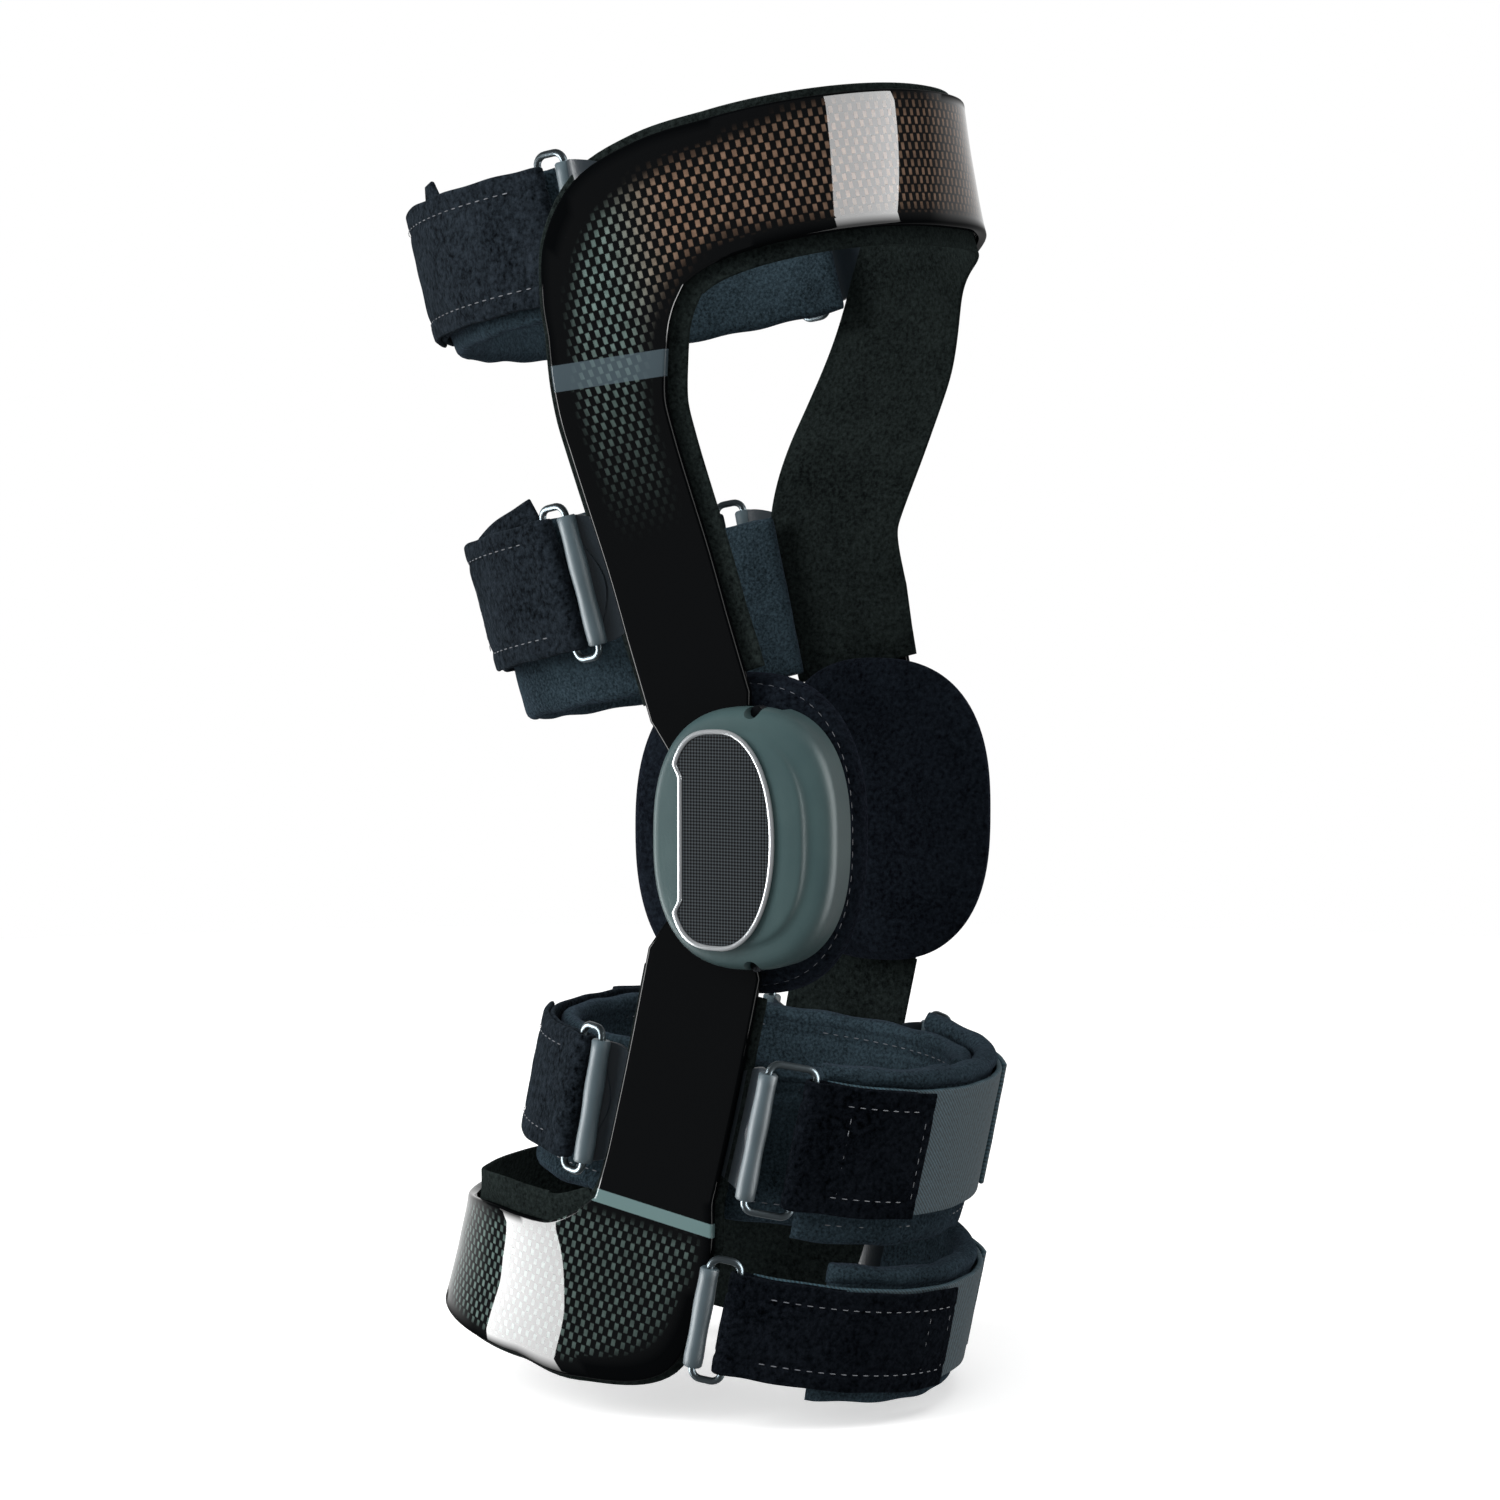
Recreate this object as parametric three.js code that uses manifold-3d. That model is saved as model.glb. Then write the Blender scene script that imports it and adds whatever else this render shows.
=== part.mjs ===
// A functional knee brace: a rigid thigh frame over the front of the thigh, a rigid shell behind the calf,
// and a hinge on each side of the knee with two pivots, held on the leg by five straps.
// Millimetres, +Z up, the front of the leg towards -Y, the near side towards -X.
// The origin is the centre of the knee, midway between the two hinges.
import * as THREE from "three";
import { mergeVertices } from "three/addons/utils/BufferGeometryUtils.js";
import Module from "manifold-3d";

const wasm = await Module();
wasm.setup();

// How the brace is set: both halves lean back from the hinge, in degrees.
const thighLean = 15;
const calfLean = 12;

// Hinge
const pivotSpacing = 26;
const kneeHalfWidth = 56.6; // centre of the knee to the inner face of an arm
const armEndRadius = 12.85;
const pinRadius = 4;
const plateThickness = 2;
const plateRadius = 17;
const coverHeight = 77;
const coverWidth = 57;
const coverRear = 17; // its rear edge, behind the pivots
const farCoverWidth = 49; // the far cover is slimmer and stays behind its pad
const coverDepth = 11.6;
const coverSkirt = 20; // its closed front side starts this far in front of the pivots
const badgeHeight = 64;
const badgeWidth = 34;
const badgeForward = 6.6;
const badgeStep = 3; // its rear side is stepped in
const badgeThickness = 1;
const condyleHeight = 95;
const condyleWidth = 75;
const condyleForward = 4;
const condyleThickness = 13;

// Rigid frames
const frameWall = 3;
const thighReach = 168; // upper pivot to the middle of the thigh band
const thighHalfWidth = 82.5;
const thighFront = 93;
const thighArmWidth = 34;
const thighBandWidth = 40;
const calfReach = 139; // lower pivot to the middle of the calf shell
const calfHalfWidth = 60.5;
const calfRear = 84.5;
const calfFront = 80;
const calfArmWidth = 37;
const calfShellWidth = 43;
const cornerReach = 62; // from the middle of an arm to where its corner has run out into the band
const cornerOutset = 14; // how far a shell corner stands out past an even width
const farSweep = 80; // how far the far thigh arm runs forward before it meets the band

// Liners
const linerWall = 1.4;
const linerGap = 0.6; // added to the clearance, because the liner is stretched over the frame's corners
const linerStart = 32; // from the pivot
const linerRear = 3; // shows behind an arm and above the band
const linerFront = 5; // shows in front of an arm and below the band
const calfLinerEdge = 2; // shows beside a calf arm
const shellLinerRise = 9; // shows above the calf shell

// Straps, pads and buckles
const strapWall = 4;
const webbingWall = 2;
const plushWall = 3;
const thighStrapWidth = 40;
const calfStrapWidth = 38;
const shinUpperWidth = 39;
const shinLowerWidth = 31;
const padWall = 6;
const wrapWall = 5;
const wireRadius = 1.1;
const ringReach = 9; // between the two bars of a D-ring
const ringOverhang = 3; // from a strap's edge to the end bar of its ring
const sleeveWall = 1.5;
const tabWall = 1.4;
const foldGap = 4; // from a buckle's bar to the start of the webbing under its plush end

// Running and seating clearances
const clearance = 0.3;
const pivotClearance = 0.4;
const padGap = 0.6; // between a pad and the strap round it
const tabGap = 0.6; // between a tab and the liner over it

const degree = Math.PI / 180;
const near = -1;
const far = 1;

const materials = {
  laminate: new THREE.MeshStandardMaterial({ color: 0x16181a, roughness: 0.12, metalness: 0 }),
  suede: new THREE.MeshStandardMaterial({ color: 0x23282a, roughness: 0.95, metalness: 0 }),
  plush: new THREE.MeshStandardMaterial({ color: 0x14161f, roughness: 1, metalness: 0 }),
  webbing: new THREE.MeshStandardMaterial({ color: 0x4b5b60, roughness: 0.8, metalness: 0 }),
  pad: new THREE.MeshStandardMaterial({ color: 0x151821, roughness: 1, metalness: 0 }),
  cover: new THREE.MeshStandardMaterial({ color: 0x56636a, roughness: 0.4, metalness: 0.2 }),
  badge: new THREE.MeshStandardMaterial({ color: 0x141618, roughness: 0.3, metalness: 0.3 }),
  steel: new THREE.MeshStandardMaterial({ color: 0x6b7478, roughness: 0.3, metalness: 1 }),
  tab: new THREE.MeshStandardMaterial({ color: 0x4d5a72, roughness: 0.6, metalness: 0 }),
};

// Solids from skins

// The enclosed volume of a merged triangle mesh, negative where its faces point in.
function volumeOf(positions, faces) {
  const corner = (index) => new THREE.Vector3().fromArray(positions, index * 3);
  let volume = 0;
  for (let i = 0; i < faces.length; i += 3) {
    volume += corner(faces[i]).dot(corner(faces[i + 1]).cross(corner(faces[i + 2]))) / 6;
  }
  return volume;
}

function toSolid(geometry) {
  const bare = geometry.clone();
  bare.deleteAttribute("normal");
  bare.deleteAttribute("uv");
  const merged = mergeVertices(bare, 1e-4);
  const faces = new Uint32Array(merged.index.array);
  const positions = merged.attributes.position.array;
  if (volumeOf(positions, faces) < 0) {
    for (let i = 0; i < faces.length; i += 3) {
      [faces[i + 1], faces[i + 2]] = [faces[i + 2], faces[i + 1]];
    }
  }
  return new wasm.Manifold(new wasm.Mesh({ numProp: 3, vertProperties: positions, triVerts: faces }));
}

function toGeometry(solid) {
  const mesh = solid.getMesh();
  const geometry = new THREE.BufferGeometry();
  geometry.setAttribute("position", new THREE.BufferAttribute(mesh.vertProperties, 3));
  geometry.setIndex(new THREE.BufferAttribute(mesh.triVerts, 1));
  geometry.computeVertexNormals();
  return geometry;
}

// A skin over rings of equally many points. An open run gets a cap of strips at each end.
function skin(rings, closed = false) {
  const count = rings[0].length;
  const faces = [];
  const joints = closed ? rings.length : rings.length - 1;
  for (let r = 0; r < joints; r++) {
    const here = r * count;
    const next = ((r + 1) % rings.length) * count;
    for (let i = 0; i < count; i++) {
      const j = (i + 1) % count;
      faces.push(here + i, here + j, next + j, here + i, next + j, next + i);
    }
  }
  if (!closed) {
    const end = (rings.length - 1) * count;
    for (let i = 0; i < count / 2 - 1; i++) {
      const mirror = count - 1 - i;
      faces.push(i, mirror, i + 1, mirror, mirror - 1, i + 1);
      faces.push(end + i, end + i + 1, end + mirror, end + mirror, end + i + 1, end + mirror - 1);
    }
  }
  const geometry = new THREE.BufferGeometry();
  const points = rings.flat().flatMap((point) => point.toArray());
  geometry.setAttribute("position", new THREE.Float32BufferAttribute(points, 3));
  geometry.setIndex(faces);
  return toSolid(geometry);
}

function meshOf(name, solid, material) {
  const mesh = new THREE.Mesh(toGeometry(solid), material);
  mesh.name = name;
  return mesh;
}

// Values between the rows of a table, by the column `key`.
function between(rows, key, value) {
  const last = rows.length - 1;
  if (value <= rows[0][key]) return { ...rows[0] };
  if (value >= rows[last][key]) return { ...rows[last] };
  const i = rows.findIndex((row) => row[key] > value) - 1;
  const share = (value - rows[i][key]) / (rows[i + 1][key] - rows[i][key]);
  const blend = {};
  for (const column of Object.keys(rows[i])) {
    blend[column] = rows[i][column] + (rows[i + 1][column] - rows[i][column]) * share;
  }
  return blend;
}

// The form of the leg

// The quarter of a leg outline from its side line to the middle of the front or the rear: points with
// their outward directions and their distances along the outline.
const quarterSteps = 36;

function quarterOf(row, depth) {
  const points = [];
  let length = 0;
  for (let i = 0; i <= quarterSteps; i++) {
    const angle = (i / quarterSteps) * 90 * degree;
    const across = Math.cos(angle) / row.side;
    const along = Math.sin(angle) / depth;
    const radius = (across ** row.power + along ** row.power) ** (-1 / row.power);
    const x = radius * Math.cos(angle);
    const y = radius * Math.sin(angle);
    const nx = across ** (row.power - 1) / row.side;
    const ny = along ** (row.power - 1) / depth;
    const size = Math.hypot(nx, ny);
    if (i > 0) length += Math.hypot(x - points[i - 1].x, y - points[i - 1].y);
    points.push({ distance: length, x, y, nx: nx / size, ny: ny / size });
  }
  return points;
}

// A leg form has rows of half-widths by height. `lead` is the middle that a run crosses: -1 the front, 1 the
// rear.
class LegForm {
  constructor(rows, lead, level) {
    this.rows = rows;
    this.lead = lead;
    this.quarter = this.lengthAt(level);
  }

  quartersAt(up) {
    const row = between(this.rows, "up", up);
    return {
      lead: quarterOf(row, this.lead < 0 ? row.front : row.rear),
      back: quarterOf(row, this.lead < 0 ? row.rear : row.front),
    };
  }

  lengthAt(up) {
    return this.quartersAt(up).lead.at(-1).distance;
  }

  // The point `run` mm round from the lead middle (negative towards the near side), at height `up`,
  // `off` mm outside the form.
  place(run, up, off) {
    const quarters = this.quartersAt(up);
    const side = run < 0 ? near : far;
    const inside = this.quarter - Math.abs(run);
    const half = inside >= 0 ? quarters.lead : quarters.back;
    const facing = inside >= 0 ? this.lead : -this.lead;
    const stretch = inside >= 0 ? (half.at(-1).distance - this.quarter) * (inside / this.quarter) ** 2 : 0;
    const spot = between(half, "distance", Math.abs(inside) + stretch);
    const size = Math.hypot(spot.nx, spot.ny);
    const x = side * (spot.x + (spot.nx / size) * off);
    const y = facing * (spot.y + (spot.ny / size) * off);
    return new THREE.Vector3(x, y, up);
  }

  // The run of a place `toward` mm from a side line towards the lead middle.
  runAt(side, toward) {
    return side * (this.quarter - toward);
  }
}

// Stations along a smooth curve through rows of {run, up, low, high}.
function smoothPath(rows, steps) {
  const widths = new THREE.CatmullRomCurve3(rows.map((row) => new THREE.Vector3(row.low, row.high, 0)));
  const line = new THREE.CatmullRomCurve3(rows.map((row) => new THREE.Vector3(row.run, row.up, 0)));
  const stations = [];
  for (let i = 0; i <= steps; i++) {
    const share = line.getUtoTmapping(i / steps);
    const spot = line.getPoint(share);
    const width = widths.getPoint(share);
    stations.push({ run: spot.x, up: spot.y, low: width.x, high: width.y });
  }
  return stations;
}

// A wall that follows a form along a path. `section` has a row for each point across, from -1 at the low
// edge to 1 at the high edge, with the offsets of the two faces there.
function ribbon(form, path, section) {
  const last = path.length - 1;
  const rings = path.map((station, i) => {
    const ahead = path[Math.min(i + 1, last)];
    const behind = path[Math.max(i - 1, 0)];
    const along = new THREE.Vector2(ahead.run - behind.run, ahead.up - behind.up).normalize();
    const spots = section.map((row) => {
      const across = row.across * (row.across < 0 ? station.low : station.high);
      return { run: station.run - along.y * across, up: station.up + along.x * across, ...row };
    });
    const outside = spots.map((spot) => form.place(spot.run, spot.up, spot.outer));
    const inside = spots.map((spot) => form.place(spot.run, spot.up, spot.inner));
    return [...outside, ...inside.reverse()];
  });
  return skin(rings);
}

// A plain wall section with square edges, and a padded one whose edges are rounded.
function plainSection(inner, outer, columns) {
  const rows = [];
  for (let i = 0; i <= columns; i++) {
    rows.push({ across: (2 * i) / columns - 1, inner, outer });
  }
  return rows;
}

function paddedSection(inner, outer) {
  const third = (outer - inner) / 3;
  return [
    { across: -1, inner: inner + third, outer: outer - third },
    { across: -0.88, inner, outer },
    { across: 0.88, inner, outer },
    { across: 1, inner: inner + third, outer: outer - third },
  ];
}

// Rigid frames and their liners

// Leg forms: heights are shares of the reach, `spread` is the share of the widening from the knee, and `front`
// and `rear` are shares of the frame's depth.
const thighRows = [
  { up: 0.24, spread: 0, front: 0.93, power: 7 },
  { up: 0.32, spread: 0.035, front: 0.93, power: 7 },
  { up: 0.44, spread: 0.11, front: 0.93, power: 6.4 },
  { up: 0.53, spread: 0.23, front: 0.93, power: 5.4 },
  { up: 0.64, spread: 0.46, front: 0.93, power: 4.2 },
  { up: 0.7, spread: 0.64, front: 0.93, power: 3.4 },
  { up: 0.79, spread: 0.85, front: 0.935, power: 2.8 },
  { up: 0.88, spread: 0.96, front: 0.945, power: 2.4 },
  { up: 1, spread: 1, front: 0.975, power: 2.15 },
  { up: 1.18, spread: 1.02, front: 1.015, power: 2.1 },
].map((row) => ({
  up: row.up * thighReach,
  side: kneeHalfWidth + row.spread * (thighHalfWidth - kneeHalfWidth),
  front: row.front * thighFront,
  rear: thighFront,
  power: row.power,
}));
const thighForm = new LegForm(thighRows, -1, thighReach);

const calfRows = [
  { up: 1.16, spread: 1, rear: 1, power: 2.1 },
  { up: 1, spread: 1, rear: 0.98, power: 2.15 },
  { up: 0.86, spread: 0.95, rear: 0.945, power: 2.6 },
  { up: 0.74, spread: 0.8, rear: 0.93, power: 3.6 },
  { up: 0.62, spread: 0.45, rear: 0.93, power: 5 },
  { up: 0.5, spread: 0.15, rear: 0.93, power: 6 },
  { up: 0.38, spread: 0, rear: 0.93, power: 7 },
].map((row) => ({
  up: -row.up * calfReach,
  side: kneeHalfWidth + row.spread * (calfHalfWidth - kneeHalfWidth),
  front: calfFront,
  rear: row.rear * calfRear,
  power: row.power,
}));
const calfForm = new LegForm(calfRows, 1, -calfReach);

// The round end of an arm about its pivot, and its flare to full width. `up` and `half` are shares of
// the end radius.
const armEndRows = [
  { up: -0.94, half: 0.34, flare: 0 },
  { up: -0.7, half: 0.714, flare: 0 },
  { up: -0.37, half: 0.929, flare: 0 },
  { up: 0, half: 1, flare: 0 },
  { up: 0.8, half: 1, flare: 0.12 },
  { up: 1.5, half: 1, flare: 0.75 },
  { up: 2.1, half: 1, flare: 1 },
];

function armEnd(form, side, width, direction) {
  return armEndRows.map((row) => {
    const half = armEndRadius * row.half + (width / 2 - armEndRadius) * row.flare;
    return { run: form.runAt(side, 0), up: direction * row.up * armEndRadius, low: half, high: half };
  });
}

// Middle lines of the arms: `up` is a share of the reach, `toward` the band a share of the corner's or
// the sweep's reach, `outset` and `inset` widen the outer and the inner edge by shares of the corner's outset.
const nearArmRows = [
  { up: 0.3, toward: -0.016, outset: 0, inset: 0 },
  { up: 0.52, toward: -0.012, outset: 0, inset: 0 },
  { up: 0.63, toward: 0.012, outset: 0, inset: 0 },
  { up: 0.7, toward: 0.05, outset: 0, inset: 0 },
  { up: 0.79, toward: 0.145, outset: 0.05, inset: 0 },
  { up: 0.85, toward: 0.215, outset: 0.22, inset: 0 },
  { up: 0.9, toward: 0.3, outset: 0.42, inset: 0 },
  { up: 0.945, toward: 0.41, outset: 0.42, inset: 0 },
  { up: 0.98, toward: 0.6, outset: 0.2, inset: 0 },
  { up: 1, toward: 0.9, outset: 0, inset: 0 },
];
const farArmRows = [
  { up: 0.3, toward: 0.005, outset: 0, inset: 0.1 },
  { up: 0.46, toward: 0, outset: 0.05, inset: 0.2 },
  { up: 0.54, toward: 0.075, outset: 0.1, inset: 0.3 },
  { up: 0.62, toward: 0.175, outset: 0.1, inset: 0.35 },
  { up: 0.7, toward: 0.285, outset: 0.1, inset: 0.3 },
  { up: 0.785, toward: 0.4, outset: 0.05, inset: 0.2 },
  { up: 0.87, toward: 0.51, outset: 0, inset: 0.05 },
  { up: 0.94, toward: 0.65, outset: 0, inset: 0 },
  { up: 0.985, toward: 0.84, outset: 0, inset: 0 },
  { up: 1, toward: 1.08, outset: 0, inset: 0 },
];
const calfArmRows = [
  { up: 0.3, toward: 0, outset: 0, inset: 0 },
  { up: 0.5, toward: 0, outset: 0, inset: 0 },
  { up: 0.67, toward: 0, outset: 0, inset: 0 },
  { up: 0.79, toward: 0.02, outset: 0.3, inset: 0 },
  { up: 0.89, toward: 0.17, outset: 1, inset: 0 },
  { up: 0.965, toward: 0.4, outset: 0.35, inset: 0 },
  { up: 0.99, toward: 0.66, outset: 0, inset: 0 },
  { up: 1, toward: 1, outset: 0, inset: 0 },
];

function armLine(form, side, rows, sizes, sweep) {
  return rows.map((row) => {
    const turned = turnedAt(row.up);
    const half = (sizes.armWidth + (sizes.bandWidth - sizes.armWidth) * turned) / 2;
    const outer = half + row.outset * cornerOutset;
    const inner = half + row.inset * cornerOutset;
    return {
      run: form.runAt(side, row.toward * sweep),
      up: row.up * sizes.reach,
      low: form.lead < 0 ? inner : outer,
      high: form.lead < 0 ? outer : inner,
    };
  });
}

// How far an arm has turned into its band, from 0 to 1, at a share of the reach.
function turnedAt(share) {
  return Math.max(0, Math.min(1, (share - 0.7) / 0.3));
}

// The whole path of a frame: up the near arm, across the band and down the far arm.
function framePath(form, nearRows, farRows, sizes) {
  const nearLine = armLine(form, near, nearRows, sizes, cornerReach);
  const farLine = armLine(form, far, farRows, sizes, sizes.farSweep);
  const half = sizes.bandWidth / 2;
  const middle = [{ run: 0, up: sizes.reach, low: half, high: half }];
  return [...nearLine, ...middle, ...farLine.reverse()];
}

const thighSizes = {
  form: thighForm,
  reach: thighReach,
  depth: thighFront,
  armWidth: thighArmWidth,
  bandWidth: thighBandWidth,
  farSweep,
};
const calfSizes = {
  form: calfForm,
  reach: -calfReach,
  depth: calfRear,
  armWidth: calfArmWidth,
  bandWidth: calfShellWidth,
  farSweep: cornerReach,
};
const thighLine = smoothPath(framePath(thighForm, nearArmRows, farArmRows, thighSizes), 46);
const calfLine = smoothPath(framePath(calfForm, calfArmRows, calfArmRows, calfSizes), 50);

// A round rod along a line, with an even number of sides.
function rod(from, to, radius, sides) {
  const rodGeometry = new THREE.CylinderGeometry(radius, radius, from.distanceTo(to), sides);
  const turn = new THREE.Quaternion().setFromUnitVectors(
    new THREE.Vector3(0, 1, 0),
    to.clone().sub(from).normalize(),
  );
  rodGeometry.applyQuaternion(turn);
  rodGeometry.translate(...from.clone().add(to).multiplyScalar(0.5).toArray());
  return toSolid(rodGeometry);
}

const pinSides = 12;

function frameSolid(form, line, armWidth, direction) {
  const path = [
    ...armEnd(form, near, armWidth, direction),
    ...line,
    ...armEnd(form, far, armWidth, direction).reverse(),
  ];
  const whole = ribbon(form, path, plainSection(0, frameWall, 3));
  const bore = rod(
    new THREE.Vector3(-2 * kneeHalfWidth, 0, 0),
    new THREE.Vector3(2 * kneeHalfWidth, 0, 0),
    pinRadius + pivotClearance,
    pinSides,
  );
  return whole.subtract(bore);
}

// A liner follows its frame's line with its own edges, and starts clear of the hinge. `rise` is its high
// edge's extra where the arm has turned into the band.
const linerInner = -clearance - linerGap - linerWall;

function linerSolid(form, line, sizes, lowExtra, highExtra, rise) {
  const direction = Math.sign(sizes.reach);
  const ends = [near, far].map((side) => ({
    run: form.runAt(side, 0),
    up: direction * linerStart,
    low: sizes.armWidth / 2,
    high: sizes.armWidth / 2,
  }));
  const past = line.filter((station) => Math.abs(station.up) > linerStart + armEndRadius);
  const path = [ends[0], ...past, ends[1]].map((station) => ({
    ...station,
    low: station.low + lowExtra,
    high: station.high + highExtra + (rise - highExtra) * turnedAt(station.up / sizes.reach),
  }));
  return ribbon(form, path, plainSection(linerInner, linerInner + linerWall, 3));
}

// Straps and pads

// The ring that a strap or a pad follows. `taper` is how much wider it is to the side at its top edge.
function ringForm(sizes) {
  const rows = [-1, 1].map((edge) => ({
    up: sizes.up + (edge * sizes.width) / 2,
    side: sizes.side + (edge * sizes.taper) / 2,
    front: sizes.front,
    rear: sizes.rear,
    power: sizes.power,
  }));
  return new LegForm(rows, sizes.lead, sizes.up);
}

// A path round the lead middle, between places `nearEnd` and `farEnd` mm from the side lines towards the
// lead, that has risen by `rise` at the middle and sunk by as much at the other one.
function roundPath(form, sizes, steps) {
  const start = form.runAt(near, sizes.nearEnd);
  const end = form.runAt(far, sizes.farEnd);
  const stations = [];
  for (let i = 0; i <= steps; i++) {
    const run = start + ((end - start) * i) / steps;
    const level = riseAt(form, sizes, run);
    stations.push({ run, up: level, low: sizes.width / 2, high: sizes.width / 2 });
  }
  return stations;
}

function riseAt(form, sizes, run) {
  const reached = 1 - Math.abs(run) / form.quarter;
  return sizes.up + sizes.rise * Math.sin(reached * 90 * degree);
}

// Where a strap meets its buckle: the strap bar's place, the way the strap leaves it, the way up along the
// bar and the way out of the leg.
function buckleSeat(form, sizes, side, toward, off) {
  const run = form.runAt(side, toward);
  const level = riseAt(form, sizes, run);
  const step = -side;
  const spot = form.place(run, level, off);
  const along = form.place(run + step, riseAt(form, sizes, run + step), off).sub(spot).normalize();
  const above = form.place(run, level + 1, off).sub(spot);
  const up = above.addScaledVector(along, -above.dot(along)).normalize();
  const out = new THREE.Vector3().crossVectors(along, up);
  if (out.x * side < 0) out.negate();
  return { spot, along, up, out };
}

function pointAt(seat, along, up, out = 0) {
  return seat.spot
    .clone()
    .addScaledVector(seat.along, along)
    .addScaledVector(seat.up, up)
    .addScaledVector(seat.out, out);
}

const wireSides = 5;
const cornerSteps = 2;

// A D-ring: one closed loop of wire about its strap bar and its tab bar.
function ringSolid(seat, width) {
  const corner = ringOverhang;
  const corners = [
    { along: -1, up: 1, from: 0 },
    { along: 0, up: 1, from: 90 },
    { along: 0, up: -1, from: 180 },
    { along: -1, up: -1, from: 270 },
  ];
  const middles = corners.flatMap((row, index) => {
    const barAlong = index === 0 || index === 3 ? 0 : -ringReach;
    const centreAlong = barAlong + (barAlong === 0 ? -corner : corner);
    const centreUp = row.up * (width / 2);
    return Array.from({ length: cornerSteps + 1 }, (_, i) => {
      const angle = (row.from + (90 * i) / cornerSteps) * degree;
      const awayAlong = Math.cos(angle);
      const awayUp = Math.sin(angle);
      return {
        along: centreAlong + corner * awayAlong,
        up: centreUp + corner * awayUp,
        awayAlong,
        awayUp,
      };
    });
  });
  const rings = middles.map((middle) =>
    Array.from({ length: wireSides }, (_, i) => {
      const angle = (i / wireSides) * 360 * degree;
      const away = wireRadius * Math.cos(angle);
      const out = wireRadius * Math.sin(angle);
      return pointAt(seat, middle.along + away * middle.awayAlong, middle.up + away * middle.awayUp, out);
    }),
  );
  return skin(rings, true);
}

const sleeveSides = 8;
const boreRadius = wireRadius + clearance;
const sleeveRadius = boreRadius + sleeveWall;

function barLine(seat, along, half) {
  return [pointAt(seat, along, -half), pointAt(seat, along, half)];
}

// A tab's plate beyond its sleeve: at its dip it has passed in under the edge of the arm, and at its end
// it lies under the arm. `trim` is how far each corner is drawn in, as a share of the width.
const tabRows = [
  { place: "bar", trim: 0 },
  { place: "dip", trim: 0.02 },
  { place: "middle", trim: 0.1 },
  { place: "end", trim: 0.24 },
];
const tabLevels = [0, 0.5, 1];

function tabSolid(seat, width, armForm, side, places) {
  const [low, high] = barLine(seat, -ringReach, width / 2 - clearance);
  const inner = linerInner - tabGap - tabWall;
  const middle = (places.dip + places.end) / 2;
  const rings = tabRows.map((row) => {
    const edges = tabLevels.map((share) => {
      const trimmed = row.trim + share * (1 - 2 * row.trim);
      const onBar = low.clone().lerp(high, trimmed);
      if (row.place === "bar") return onBar.addScaledVector(seat.out, tabWall - sleeveRadius);
      const toward = row.place === "middle" ? middle : places[row.place];
      return armForm.place(armForm.runAt(side, toward), onBar.z, inner);
    });
    const outside = edges.map((edge) => edge.clone().addScaledVector(seat.out, tabWall));
    return [...outside, ...edges.reverse()];
  });
  const sleeve = rod(low, high, sleeveRadius, sleeveSides);
  const bore = rod(...barLine(seat, -ringReach, width), boreRadius, sleeveSides);
  return skin(rings).add(sleeve).subtract(bore);
}

// A strap with a fold round the bar of each ring that it reaches.
function strapSolid(form, path, inner, wall, seats, width) {
  let solid = ribbon(form, path, plainSection(inner, inner + wall, 1));
  for (const seat of seats) {
    const fold = rod(...barLine(seat, 0, width / 2 - clearance), sleeveRadius, sleeveSides);
    const bore = rod(...barLine(seat, 0, width), boreRadius, sleeveSides);
    solid = solid.add(fold).subtract(bore);
  }
  return solid;
}

// Each row is one strap. `lead` is the middle that it crosses. `up` is its height as a share of the reach and
// `depth` its depth there as a share of the frame's. `beside` is how far its side lies outside the frame's, in
// strap walls. `taper`, `rise` and `plushShort` are shares of its width: how much wider it is at its top edge,
// how far it rises at the middle, and how far short of the middle its plush end stops. `bar` is where a buckle
// bar sits, from the side line towards that middle, and `dip` and `end` place its tab on the frame in the same
// way, as shares of the arm's width.
const strapTable = [
  {
    name: "thigh_upper", frame: thighSizes, lead: 1, up: 1.006, width: thighStrapWidth, depth: 0.785,
    beside: -2.1, taper: 0.025, power: 2.2, rise: 0.175,
    near: { bar: 0.1, dip: -0.36, end: -0.85 }, far: { bar: -0.12, dip: -0.485, end: -0.85 },
  },
  {
    name: "thigh_lower", frame: thighSizes, lead: 1, up: 0.411, width: thighStrapWidth, depth: 0.876,
    beside: 0.4, taper: 0.1, power: 2.5, rise: 0.125,
    near: { bar: 1.04, dip: 0.64, end: 0.27 }, far: { bar: 1.12, dip: 0.69, end: 0.27 },
  },
  {
    name: "calf_rear", frame: calfSizes, lead: 1, up: 0.525, width: calfStrapWidth, depth: 0.763,
    beside: 0.8, taper: -0.026, power: 2.4, rise: -0.16,
    near: { bar: 0.946, dip: 0.61, end: 0.27 }, far: { bar: 0.946, dip: 0.61, end: 0.27 },
  },
  {
    name: "shin_upper", frame: calfSizes, lead: -1, up: 0.504, width: shinUpperWidth, depth: 0.816,
    beside: 1.1, taper: -0.026, power: 2.3, rise: 0, plushShort: 0.72,
    near: { bar: 0.973, dip: 0.61, end: 0.27 }, far: { bar: 0.973, dip: 0.61, end: 0.27 },
  },
  {
    name: "shin_lower", frame: calfSizes, lead: -1, up: 0.914, width: shinLowerWidth, depth: 0.9,
    beside: 0.8, taper: 0, power: 2.25, rise: 0.03, plushShort: 0.32,
    near: { bar: 1.05, dip: 0.66, end: 0.25 }, far: { bar: 1.05, dip: 0.66, end: 0.25 },
  },
];

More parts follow.
